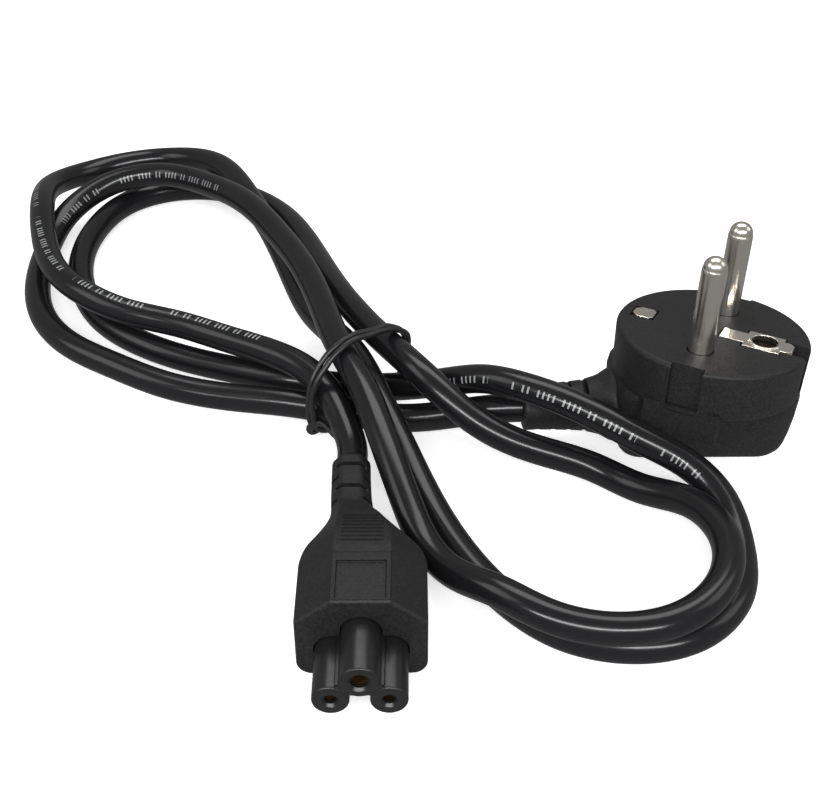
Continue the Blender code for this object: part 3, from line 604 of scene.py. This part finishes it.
GRIP_HALF, GRIP_FRONT, GRIP_BACK, GRIP_TOP, GRIP_TAPER = 12.0, 17.2, -19.0, 17.5, 0.8
GRIP_INSETS = [  # height, and how far the section is drawn in there
    (0.0, 3.2), (0.25, 2.5), (0.7, 1.9), (1.4, 1.5), (2.4, 1.25), (5.0, 0.85), (9.0, 0.45), (13.5, 0.2),
    (15.5, 0.5), (GRIP_TOP, 1.3),
]
grip_rows = []
for z, inset in GRIP_INSETS:
    half, back, front = GRIP_HALF - inset, GRIP_BACK + inset, GRIP_FRONT - inset
    rear = half * GRIP_TAPER
    corners = [(back, -rear), (front, -half), (front, half), (back, rear)]
    plan = round_corners(corners, [4.0, 6.0, 6.0, 4.0], 12)
    grip_rows.append(np.column_stack([plan, np.full(len(plan), z)]))
grip = solid("grip", np.array(grip_rows), CABLE)

NECK_AXIS, NECK_START, NECK_RADIUS, NECK_EDGE, NECK_ROWS = 8.0, -36.4, 4.5, 0.7, 40
NECK_STATIONS = [(-40, 4.5), (-35.7, 4.5), (-25.5, 5.0), (-21.5, 5.9), (-18.8, 7.3), (-15.0, 7.8)]
neck_from = NECK_START + NECK_EDGE
neck_x = neck_from + np.linspace(0.0, 1.0, NECK_ROWS) * (GRIP_BACK + 4.0 - neck_from)
neck_r = ease(NECK_STATIONS, neck_x)[:, 0]
tip = np.column_stack([NECK_RADIUS + NECK_EDGE * (np.sin(t) - 1), NECK_START + NECK_EDGE * (1 - np.cos(t))])
neck_profile = np.vstack([[(0.0, NECK_START)], tip, np.column_stack([neck_r, neck_x])[1:],
                          [(7.8, -8.0), (0.0, -8.0)]])
neck = solid("neck", lathe(neck_profile, 72),
             CABLE @ Matrix.Translation((0, 0, NECK_AXIS * MM)) @ Matrix.Rotation(math.pi / 2, 4, "Y"))
print("head, grip and neck made")

# %% [markdown]
# The head has a guide notch on each side for the ribs of a socket, and a lug
# below each notch. The neck is slotted like the connector's. The earth strip
# lies in a stepped recess that runs out through the rim, so that a socket's
# spring can reach the metal.

# %% Lugs, notches, slots and recesses of the plug
NOTCH_HALF, NOTCH_DEEP, NOTCH_LENGTH = 3.1, 1.6, 8.3
LUG_HALF, LUG_THICK, LUG_DROP = 7.15, 4.5, 4.6
NECK_SLOT, NECK_PITCH, NECK_CORE, NECK_REACH = NECK_START + 2.4, 3.1, 3.0, 8.0
CLEAR = 0.3  # room round each metal piece
steps = [(JOIN, grip), (JOIN, neck)]
cuts = []


def cut_box(low, high, matrix=FACE):
    """Adds a box to the cuts of the plug."""
    cuts.append((CUT, brick(low, high, matrix)))


for side in (-1, 1):
    y0, y1 = sorted((side * (HEAD_RADIUS - LUG_THICK), side * (HEAD_RADIUS - 0.6)))
    steps.append((JOIN, brick((-LUG_HALF, y0, -HEAD_DEPTH - LUG_DROP),
                              (LUG_HALF, y1, -HEAD_DEPTH + 1.5), FACE)))
    y0, y1 = sorted((side * (HEAD_RADIUS - NOTCH_DEEP), side * (HEAD_RADIUS + 2.0)))
    cut_box((-NOTCH_HALF, y0, -NOTCH_LENGTH), (NOTCH_HALF, y1, 1.0))
for x in NECK_SLOT + NECK_PITCH * np.arange(4):
    for z0, z1 in ((NECK_CORE, NECK_REACH), (-NECK_REACH, -NECK_CORE)):
        cut_box((x, -NECK_REACH, NECK_AXIS + z0), (x + SLOT_WIDE, NECK_REACH, NECK_AXIS + z1), CABLE)

STRIP_HALF, PLATE_HALF, STRIP_THICK, PROUD = 2.05, 3.4, 0.8, 0.12
STRIP = (1.6, 6.3, 13.4, 15.5)  # tongue start, plate start, plate end, strip end
CLIP = (-16.0, -11.8)
LEG_LOW, LEG_CLEAR = -7.5, STRIP_HALF + CLEAR - 0.05
RECESS_LOW = -STRIP_THICK - 0.6


def strip_plan(grow=0.0, corner=0.0):
    """Plan of the earth strip, a tongue that widens to a plate: grown, or with the end's corners cut."""
    n, p, k = STRIP_HALF + grow, PLATE_HALF + grow, corner
    a, b, c, d = STRIP[0] - grow, STRIP[1] - grow, STRIP[2] + grow, STRIP[3] + grow
    end = [(d - k, -n), (d, k - n), (d, n - k), (d - k, n)] if corner else [(d, -n), (d, n)]
    return [(a, -n), (b, -n), (b, -p), (c, -p), (c, -n), *end, (c, n), (c, p), (b, p), (b, n), (a, n)]


cuts.append((CUT, prism(strip_plan(CLEAR), RECESS_LOW, 1.0, FACE)))
cut_box((STRIP[3] - STRIP_THICK - CLEAR, -LEG_CLEAR, LEG_LOW - CLEAR), (HEAD_RADIUS + 2, LEG_CLEAR, 1.5))
cut_box((CLIP[0] - CLEAR, -STRIP_HALF - CLEAR, RECESS_LOW), (CLIP[1] + CLEAR, STRIP_HALF + CLEAR, 1.0))
cut_box((-HEAD_RADIUS - 2, -LEG_CLEAR, LEG_LOW - CLEAR), (CLIP[0] + STRIP_THICK + CLEAR, LEG_CLEAR, -0.9))

SOCKET_AT, SOCKET_RADIUS, SOCKET_GAP, SOCKET_LOW = 10.0, 2.5, 0.7, -8.3
PIN_HALF_PITCH, PIN_RADIUS, PIN_LENGTH, PIN_FOOT, PIN_GAP = 9.5, 2.4, 19.0, -5.0, 0.18
AT_SOCKET = FACE @ Matrix.Translation((SOCKET_AT * MM, 0, 0))
AT_PIN = {side: FACE @ Matrix.Translation((0, side * PIN_HALF_PITCH * MM, 0)) for side in (-1, 1)}
for radius, low, place in ((SOCKET_RADIUS + SOCKET_GAP, SOCKET_LOW, AT_SOCKET),
                           *[(PIN_RADIUS + PIN_GAP, PIN_FOOT - CLEAR, AT_PIN[side]) for side in (-1, 1)]):
    bore = [(0, low), (radius, low), (radius, 1.0), (0, 1.0)]
    cuts.append((CUT, solid("bore", lathe(bore, 64), place)))
shape(plug_shell, *steps)
soften(plug_shell, PLUG_EDGE, clamp=True)
shape(plug_shell, *cuts)
flat_shading(plug_shell)
print("plug shell:", len(plug_shell.data.polygons), "faces")

# %% [markdown]
# ## Pins and earth contacts
# The pins are solid brass, turned and then nickel plated. Below the domed tip
# the lathe leaves a short bevel, which shows as a bright ring. The earth strip
# and the clip are stamped from sheet, so their corners are cut off and their
# edges are thin and bright.

# %% Pins
DOME_RADIUS, DOME_HEIGHT = 2.24, 2.1


def turned_pin(name, side):
    """A round pin with a bevel and an elliptical dome at its tip."""
    a = np.linspace(0.0, np.pi / 2, 14)
    dome = np.column_stack([DOME_RADIUS * np.cos(a), PIN_LENGTH + DOME_HEIGHT * (np.sin(a) - 1)])
    shank = np.array([(PIN_RADIUS, PIN_FOOT), (PIN_RADIUS, PIN_LENGTH - 3.0), (PIN_RADIUS, PIN_LENGTH - 2.6),
                      (PIN_RADIUS - 0.05, PIN_LENGTH - 2.45), (PIN_RADIUS - 0.14, PIN_LENGTH - 2.25)])
    return solid(name, lathe(np.vstack([[(0.0, PIN_FOOT)], shank, dome]), 72), AT_PIN[side])


near_pin, far_pin = turned_pin("near_pin_turned", -1), turned_pin("far_pin_turned", 1)
print("pins:", len(near_pin.data.polygons), "faces each")

# %% Earth strip and clip
LEG_TOP, LIP = -0.3, 0.3  # top of the hidden legs, and radius of the lip round the hole
earth_strip = prism(strip_plan(corner=0.9), -STRIP_THICK, PROUD, FACE, "earth_strip_stamped")
half = STRIP_HALF - 1.0
leg = brick((STRIP[3] - STRIP_THICK, -half, LEG_LOW), (STRIP[3] - 0.03, half, LEG_TOP), FACE)
round_lip = np.linspace(-np.pi / 2, np.pi / 2, 9)
lip = np.column_stack([SOCKET_RADIUS + LIP + LIP * np.cos(round_lip), 0.05 + LIP * np.sin(round_lip)])
ring = solid("ring", lathe(np.vstack([[(0, -0.25)], lip, [(0, 0.35)]]), 72), AT_SOCKET)
punch = solid("punch", lathe([(0, -3), (SOCKET_RADIUS, -3), (SOCKET_RADIUS, 3), (0, 3)], 72), AT_SOCKET)
shape(earth_strip, (JOIN, leg), (JOIN, ring), (CUT, punch))
soften(earth_strip, METAL_EDGE, 2)

x0, x1 = CLIP
n, outer, inner = STRIP_HALF, 1.1, 0.7  # half width, and the corners cut off at both ends
clip_outline = [(x0, outer - n), (x0 + outer, -n), (x1 - inner, -n), (x1, inner - n), (x1, n - inner),
                (x1 - inner, n), (x0 + outer, n), (x0, n - outer)]
earth_clip = prism(clip_outline, -STRIP_THICK, PROUD, FACE, "earth_clip_stamped")
half = STRIP_HALF - 1.2
shape(earth_clip, (JOIN, brick((x0 + 0.03, -half, LEG_LOW), (x0 + STRIP_THICK, half, LEG_TOP), FACE)))
soften(earth_clip, METAL_EDGE, 2)
print("earth strip and clip stamped")

# %% [markdown]
# ## The tie
# The tie is a thin coated wire, wound twice round the waist of the bundle, with
# a short free end. It has been bent by hand, so it is never quite round: a
# small seeded wobble keeps it from looking like a machined ring.

# %% Wire tie
TIE_LOOP = [
    (-3.0, 0.85), (-9.0, 1.0), (-12.4, 4.1), (-13.0, 9.5), (-11.5, 14.5), (-7.6, 18.6), (-2.6, 20.4),
    (3.0, 19.7), (8.6, 18.3), (12.0, 15.2), (11.8, 10.0), (10.6, 4.5), (6.5, 1.3), (1.5, 0.9),
]
TIE_TAIL = [
    (-10.6, -18.4, 1.7), (-10.9, -19.8, 4.1), (-9.2, -20.3, 5.6), (-6.5, -22.6, 5.2), (-3.9, -25.4, 4.2),
]
TIE_RADIUS, TURN_PITCH, TIE_YAW, TIE_CENTRE = 0.6, 1.4, math.radians(40.0), (-1.0, -11.0)
TIE_STEP, WOBBLE, CALM = 0.0004, 0.00022, 0.004  # metres; below the height CALM nothing wobbles
order = (np.arange(2 * len(TIE_LOOP)) + 2) % len(TIE_LOOP)
loop = np.array(TIE_LOOP)[order]
shift = (np.arange(len(order)) / len(TIE_LOOP) - 1.0) * TURN_PITCH
tie_points = np.column_stack([TIE_CENTRE[0] + loop[:, 0] * math.cos(TIE_YAW) - shift * math.sin(TIE_YAW),
                              TIE_CENTRE[1] + loop[:, 0] * math.sin(TIE_YAW) + shift * math.cos(TIE_YAW),
                              loop[:, 1]])
tie_line, _ = smooth_curve(np.vstack([tie_points, TIE_TAIL]) * MM, TIE_STEP)
rng = np.random.default_rng(7)
wobble = np.stack([np.convolve(rng.normal(0, 1, len(tie_line)), np.hanning(15) / 7, "same")
                   for _ in range(3)], axis=1)
high = np.clip((tie_line[:, 2:] - CALM) / CALM, 0, 1)
tie_line = tie_line + wobble * WOBBLE * high - MIDDLE
tie_radius = np.full(len(tie_line), TIE_RADIUS * MM)
tie_radius[[0, -1]] *= 0.3  # the ends are rounded off
tie_radius[[1, -2]] *= 0.8
wire_tie = sweep("coated_tie", tie_line, tie_radius, TIE_SIDES)
print("tie:", len(wire_tie.data.polygons), "faces")

# %% [markdown]
# ## Materials
# The parts are nearly all black, so their shine tells them apart. Moulded vinyl
# has a fine grain and wide soft highlights. The cord's sheath is extruded, so
# it is smooth, and shows thin bright lines along its length. Each material is a
# graph of nodes, and the grain that all the plastics share is a node group.

# %% Node helpers
def node(tree, kind, **settings):
    """A node with its properties set, and its named or numbered inputs given values or links."""
    made = tree.nodes.new(kind)
    for key, value in settings.pop("inputs", {}).items():
        if isinstance(value, bpy.types.NodeSocket):
            tree.links.new(value, made.inputs[key])
        else:
            made.inputs[key].default_value = value
    for key, value in settings.items():
        setattr(made, key, value)
    return made


def material(name, base, roughness, metallic=0.0, **more):
    """A Principled material with its constants on the shader's own sockets."""
    made = bpy.data.materials.new(name)
    made.use_nodes = True
    shader = made.node_tree.nodes["Principled BSDF"]
    shader.inputs["Base Color"].default_value = (*base, 1.0)
    shader.inputs["Roughness"].default_value = roughness
    shader.inputs["Metallic"].default_value = metallic
    for key, value in more.items():
        shader.inputs[key.replace("_", " ")].default_value = value
    return made, made.node_tree, shader


def base_grey(tree, shader, value, low, high, dark, light):
    """Base colour: a grey that goes from dark to light while the value goes from low to high."""
    grey = node(tree, "ShaderNodeMapRange", inputs={0: value, 1: low, 2: high, 3: dark, 4: light}).outputs[0]
    colour = node(tree, "ShaderNodeCombineColor", inputs={0: grey, 1: grey, 2: grey})
    tree.links.new(colour.outputs[0], shader.inputs["Base Color"])


def base_mix(tree, shader, factor, first, second):
    """Base colour: a mix of two colours by a factor."""
    mixed = node(tree, "ShaderNodeMix", data_type="RGBA",
                 inputs={0: factor, 6: (*first, 1), 7: (*second, 1)})
    tree.links.new(mixed.outputs[2], shader.inputs["Base Color"])


# A grain shared by all plastics: fine bumps, broad unevenness and a roughness that varies.
grain = bpy.data.node_groups.new("moulded_grain", "ShaderNodeTree")
for label, value in (("Scale", 2600.0), ("Depth", 0.00003), ("Roughness", 0.5), ("Spread", 0.08)):
    grain.interface.new_socket(label, in_out="INPUT", socket_type="NodeSocketFloat").default_value = value
for label, kind in (("Normal", "Vector"), ("Roughness", "Float"), ("Speckle", "Float")):
    grain.interface.new_socket(label, in_out="OUTPUT", socket_type="NodeSocket" + kind)
grain_in = grain.nodes.new("NodeGroupInput").outputs
grain_out = grain.nodes.new("NodeGroupOutput").inputs
where = node(grain, "ShaderNodeTexCoord").outputs["Object"]
fine, broad = [node(grain, "ShaderNodeTexNoise",
                    inputs={"Vector": where, "Scale": scale, "Detail": 3.0, "Roughness": 0.6})
               for scale in (grain_in["Scale"], 170.0)]
mix = node(grain, "ShaderNodeMath", operation="MULTIPLY_ADD",
           inputs={0: broad.outputs["Fac"], 1: 0.9, 2: fine.outputs["Fac"]})
bump = node(grain, "ShaderNodeBump", inputs={"Strength": 1.0, "Distance": grain_in["Depth"],
                                             "Height": mix.outputs[0]})
centred = node(grain, "ShaderNodeMath", operation="SUBTRACT", inputs={0: broad.outputs["Fac"], 1: 0.5})
rough = node(grain, "ShaderNodeMath", operation="MULTIPLY_ADD",
             inputs={0: centred.outputs[0], 1: grain_in["Spread"], 2: grain_in["Roughness"]})
grain.links.new(bump.outputs["Normal"], grain_out["Normal"])
grain.links.new(rough.outputs[0], grain_out["Roughness"])
grain.links.new(fine.outputs["Fac"], grain_out["Speckle"])


def with_grain(tree, shader, **values):
    """Links the shared grain to a shader, and gives back its speckle."""
    made = tree.nodes.new("ShaderNodeGroup")
    made.node_tree = grain
    for key, value in values.items():
        made.inputs[key].default_value = value
    for key in ("Normal", "Roughness"):
        tree.links.new(made.outputs[key], shader.inputs[key])
    return made.outputs["Speckle"]


print("node group ready:", grain.name)

# %% Plastics
vinyl, tree, shader = material("black_moulded_vinyl", (0.013, 0.013, 0.014), 0.5, Specular_IOR_Level=0.32)
speckle = with_grain(tree, shader, Scale=2400.0, Depth=0.00006, Roughness=0.5, Spread=0.2)
base_grey(tree, shader, speckle, 0.3, 0.75, 0.006, 0.020)

hard, tree, shader = material("black_hard_insert", (0.010, 0.010, 0.011), 0.3, IOR=1.5)
speckle = with_grain(tree, shader, Scale=2200.0, Depth=0.000018, Roughness=0.32, Spread=0.1)
base_grey(tree, shader, speckle, 0.3, 0.75, 0.008, 0.013)
print("vinyl and insert ready")

# %% [markdown]
# The sheath carries short groups of small pale ticks, as a plain stand-in for
# printed marks. They are drawn from the UV map: one coordinate is the run along
# the cord in metres, and the other is the turn round it. A ramp with hard steps
# says where the groups lie and how strong they are. Near the connector the row
# drifts round the cord, which twists. A rule leaves out one tick in four.

# %% Sheath of the cord
# start, end and strength of each group of ticks, in metres along the cord
MARKED = [
    (0.036, 0.065, 1.0), (0.071, 0.089, 1.0), (0.093, 0.117, 0.9), (0.124, 0.145, 0.5), (0.162, 0.205, 0.35),
    (0.441, 0.449, 0.8), (0.452, 0.464, 0.9), (0.467, 0.481, 0.9), (0.486, 0.497, 0.8),
    (1.053, 1.069, 0.6), (1.071, 1.078, 0.8), (1.080, 1.087, 0.8), (1.092, 1.110, 0.7),
]
RAMP_LENGTH = 1.3  # metres of cord that the ramp spans
TICK_PITCH, TICK_SHARE = 0.00105, 0.36  # metres from tick to tick, and the inked share of it
SKIP_STEP, SKIP_SHARE = 0.3819, 0.76  # a number's multiple of the step decides if its tick stays
ROW_TURN, ROW_HALF = -0.088, 0.038  # the row's place and half height, as turns round the cord
DRIFT = {1: 0.085, 2: 0.165, 3: 0.07, 4: -0.15}  # the row's drift: run from and to, turn from and to
EARLY_END = 0.3  # metres; the drift is used up to here
BLACK, PALE = (0.008, 0.008, 0.009), (0.34, 0.35, 0.35)
gloss, tree, shader = material("black_extruded_sheath", BLACK, 0.2, Specular_IOR_Level=0.45)
with_grain(tree, shader, Scale=900.0, Depth=0.000006, Roughness=0.2, Spread=0.12)
uv = node(tree, "ShaderNodeUVMap", uv_map="run_and_turn")
run, turned = node(tree, "ShaderNodeSeparateXYZ", inputs={0: uv.outputs[0]}).outputs[:2]


def chain(last, *steps):
    """Maths nodes on the sheath's tree one after another, each given as (operation, value or socket)."""
    for operation, *value in steps:
        made = node(tree, "ShaderNodeMath", operation=operation, inputs=dict(enumerate([last, *value])))
        last = made.outputs[0]
    return last


ramp = node(tree, "ShaderNodeValToRGB", inputs={0: chain(run, ("DIVIDE", RAMP_LENGTH))})
bands = ramp.color_ramp
bands.interpolation = "CONSTANT"
bands.elements[1].position = 1.0
bands.elements[1].color = (0, 0, 0, 1)
for start, end, strength in MARKED:
    for place, value in ((start, strength), (end, 0.0)):
        bands.elements.new(place / RAMP_LENGTH).color = (value, value, value, 1)
drift = node(tree, "ShaderNodeMapRange", inputs={0: run, **DRIFT}).outputs[0]
early = chain(run, ("GREATER_THAN", EARLY_END), ("SUBTRACT", 1.0), ("MULTIPLY", -1.0))
row_at = chain(drift, ("SUBTRACT", ROW_TURN), ("MULTIPLY", early), ("ADD", ROW_TURN))
across = chain(turned, ("ADD", 0.5), ("FRACT",), ("SUBTRACT", 0.5), ("SUBTRACT", row_at), ("ABSOLUTE",),
               ("LESS_THAN", ROW_HALF))
number = chain(run, ("MULTIPLY", 1 / TICK_PITCH))
tick = chain(number, ("FRACT",), ("LESS_THAN", TICK_SHARE))
stays = chain(number, ("FLOOR",), ("MULTIPLY", SKIP_STEP), ("FRACT",), ("LESS_THAN", SKIP_SHARE))
mask = chain(tick, ("MULTIPLY", stays), ("MULTIPLY", across), ("MULTIPLY", ramp.outputs[0]))
base_mix(tree, shader, mask, BLACK, PALE)
print("sheath ready")

# %% Metals and tie
def turned_metal(name, base, roughness, line_scale, depth, tint):
    """A metal with fine lines left by the lathe and a slow change of tint."""
    made, tree, shader = material(name, base, roughness, 1.0)
    where = node(tree, "ShaderNodeTexCoord").outputs["Object"]
    stretch = node(tree, "ShaderNodeMapping", inputs={"Vector": where, "Scale": (120.0, 120.0, line_scale)})
    lines = node(tree, "ShaderNodeTexNoise",
                 inputs={"Vector": stretch.outputs[0], "Scale": 1.0, "Detail": 3.0})
    bump = node(tree, "ShaderNodeBump",
                inputs={"Strength": 1.0, "Distance": depth, "Height": lines.outputs["Fac"]})
    tree.links.new(bump.outputs["Normal"], shader.inputs["Normal"])
    noise = node(tree, "ShaderNodeTexNoise", inputs={"Vector": where, "Scale": 260.0, "Detail": 4.0})
    stain = noise.outputs["Fac"]
    base_mix(tree, shader, stain, base, tint)
    rough = node(tree, "ShaderNodeMapRange",
                 inputs={0: stain, 1: 0.3, 2: 0.7, 3: roughness * 0.75, 4: roughness * 1.35})
    tree.links.new(rough.outputs[0], shader.inputs["Roughness"])
    return made


nickel = turned_metal("nickel_plate", (0.92, 0.88, 0.82), 0.21, 9000.0, 0.000004, (0.82, 0.75, 0.66))
brass = turned_metal("contact_brass", (0.72, 0.50, 0.20), 0.3, 3000.0, 0.000006, (0.60, 0.42, 0.18))
bronze = turned_metal("socket_bronze", (0.34, 0.24, 0.15), 0.42, 2000.0, 0.000006, (0.20, 0.14, 0.09))

coated, tree, shader = material("black_coated_wire", (0.012, 0.012, 0.013), 0.34, IOR=1.5)
with_grain(tree, shader, Scale=1500.0, Depth=0.00003, Roughness=0.36, Spread=0.25)
print("metals and tie ready")

# %% [markdown]
# ## Putting the pieces on the model
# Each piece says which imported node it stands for. The brass sleeves and the
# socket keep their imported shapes, since those are already right, and only get
# their metal.

# %% Finishes and places
DRESSED = [  # piece, finish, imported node, slot
    (connector_body, vinyl, "connector_body", "black_vinyl_matte"),
    (nose, hard, "connector_nose", "black_hard_plastic"),
    (plug_shell, vinyl, "plug_body", "black_vinyl_matte"),
    (near_pin, nickel, "near_pin", "nickel_plate"),
    (far_pin, nickel, "far_pin", "nickel_plate"),
    (earth_strip, nickel, "earth_strip", "nickel_plate"),
    (earth_clip, nickel, "earth_clip", "nickel_plate"),
    (wire_tie, coated, "wire_tie", "black_coated_wire"),
    (cord, gloss, "cord", "black_vinyl_gloss"),
]
for piece, finish, stands_for, slot in DRESSED:
    piece.data.materials.clear()
    piece.data.materials.append(finish)
    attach(piece, "root")
    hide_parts(stands_for)

KEPT = {"earth_socket": bronze, **{side + "_contact_sleeve": brass for side in ("left", "right", "earth")}}
for name, finish in KEPT.items():
    for place in bpy.data.objects[name].material_slots:
        place.material = finish

print(len(DRESSED), "pieces dressed,", len(KEPT), "packed nodes kept")

# %% [markdown]
# ## Floor and light
# The object lies on pure white with hardly any shadow, as in a light tent. Paper
# that glows a little and a dim white world give that. Four soft lights stand
# round it. The front one is a long strip, which the cord shows as a thin bright
# line. The paper is not mirrored, which keeps undersides black.

# %% Floor and lights
FLOOR_GLOW, TENT_GLOW = 0.56, 0.24  # light that comes through the paper, and from all round
PAPER = [(-3, -3, 0), (3, -3, 0), (3, 3, 0), (-3, 3, 0)]
SOFTBOXES = [  # name, place in m, width and height in m, power in W
    ("softbox_front", (-0.05, -0.75, 0.62), (1.6, 0.13), 12.0),
    ("softbox_top", (0.05, 0.45, 0.95), (1.0, 0.5), 4.6),
    ("softbox_left", (-0.9, -0.1, 0.6), (0.5, 0.5), 1.4),
    ("softbox_right", (0.9, 0.1, 0.6), (0.5, 0.5), 1.0),
]

floor_mesh = bpy.data.meshes.new("floor")
floor_mesh.from_pydata(PAPER, [], [(0, 1, 2, 3)])
floor = bpy.data.objects.new("floor", floor_mesh)
bpy.context.collection.objects.link(floor)
paper, tree, shader = material("white_paper", (0.9, 0.9, 0.9), 0.9,
                               Emission_Color=(1.0, 1.0, 1.0, 1.0), Emission_Strength=FLOOR_GLOW)
where = node(tree, "ShaderNodeTexCoord").outputs["Object"]
noise = node(tree, "ShaderNodeTexNoise", inputs={"Scale": 60.0, "Detail": 4.0, "Vector": where})
base_grey(tree, shader, noise.outputs["Fac"], 0.3, 0.7, 0.88, 0.92)
floor_mesh.materials.append(paper)
floor.visible_glossy = False

scene = bpy.context.scene
scene.view_settings.view_transform = "Standard"
world = bpy.data.worlds.new("light_tent")
world.use_nodes = True
background = world.node_tree.nodes["Background"]
background.inputs[0].default_value = (1.0, 1.0, 1.0, 1.0)
background.inputs[1].default_value = TENT_GLOW
scene.world = world

for name, place, size, power in SOFTBOXES:
    light = bpy.data.lights.new(name, "AREA")
    light.shape = "RECTANGLE"
    light.size, light.size_y = size
    light.energy = power
    lamp = bpy.data.objects.new(name, light)
    lamp.location = place
    lamp.rotation_euler = (-Vector(place)).to_track_quat("-Z", "Y").to_euler()  # it faces the origin
    bpy.context.collection.objects.link(lamp)
print("floor and lights ready")

# %% [markdown]
# ## Last update
# The view layer is brought up to date once more.

# %% Update the view layer
bpy.context.view_layer.update()
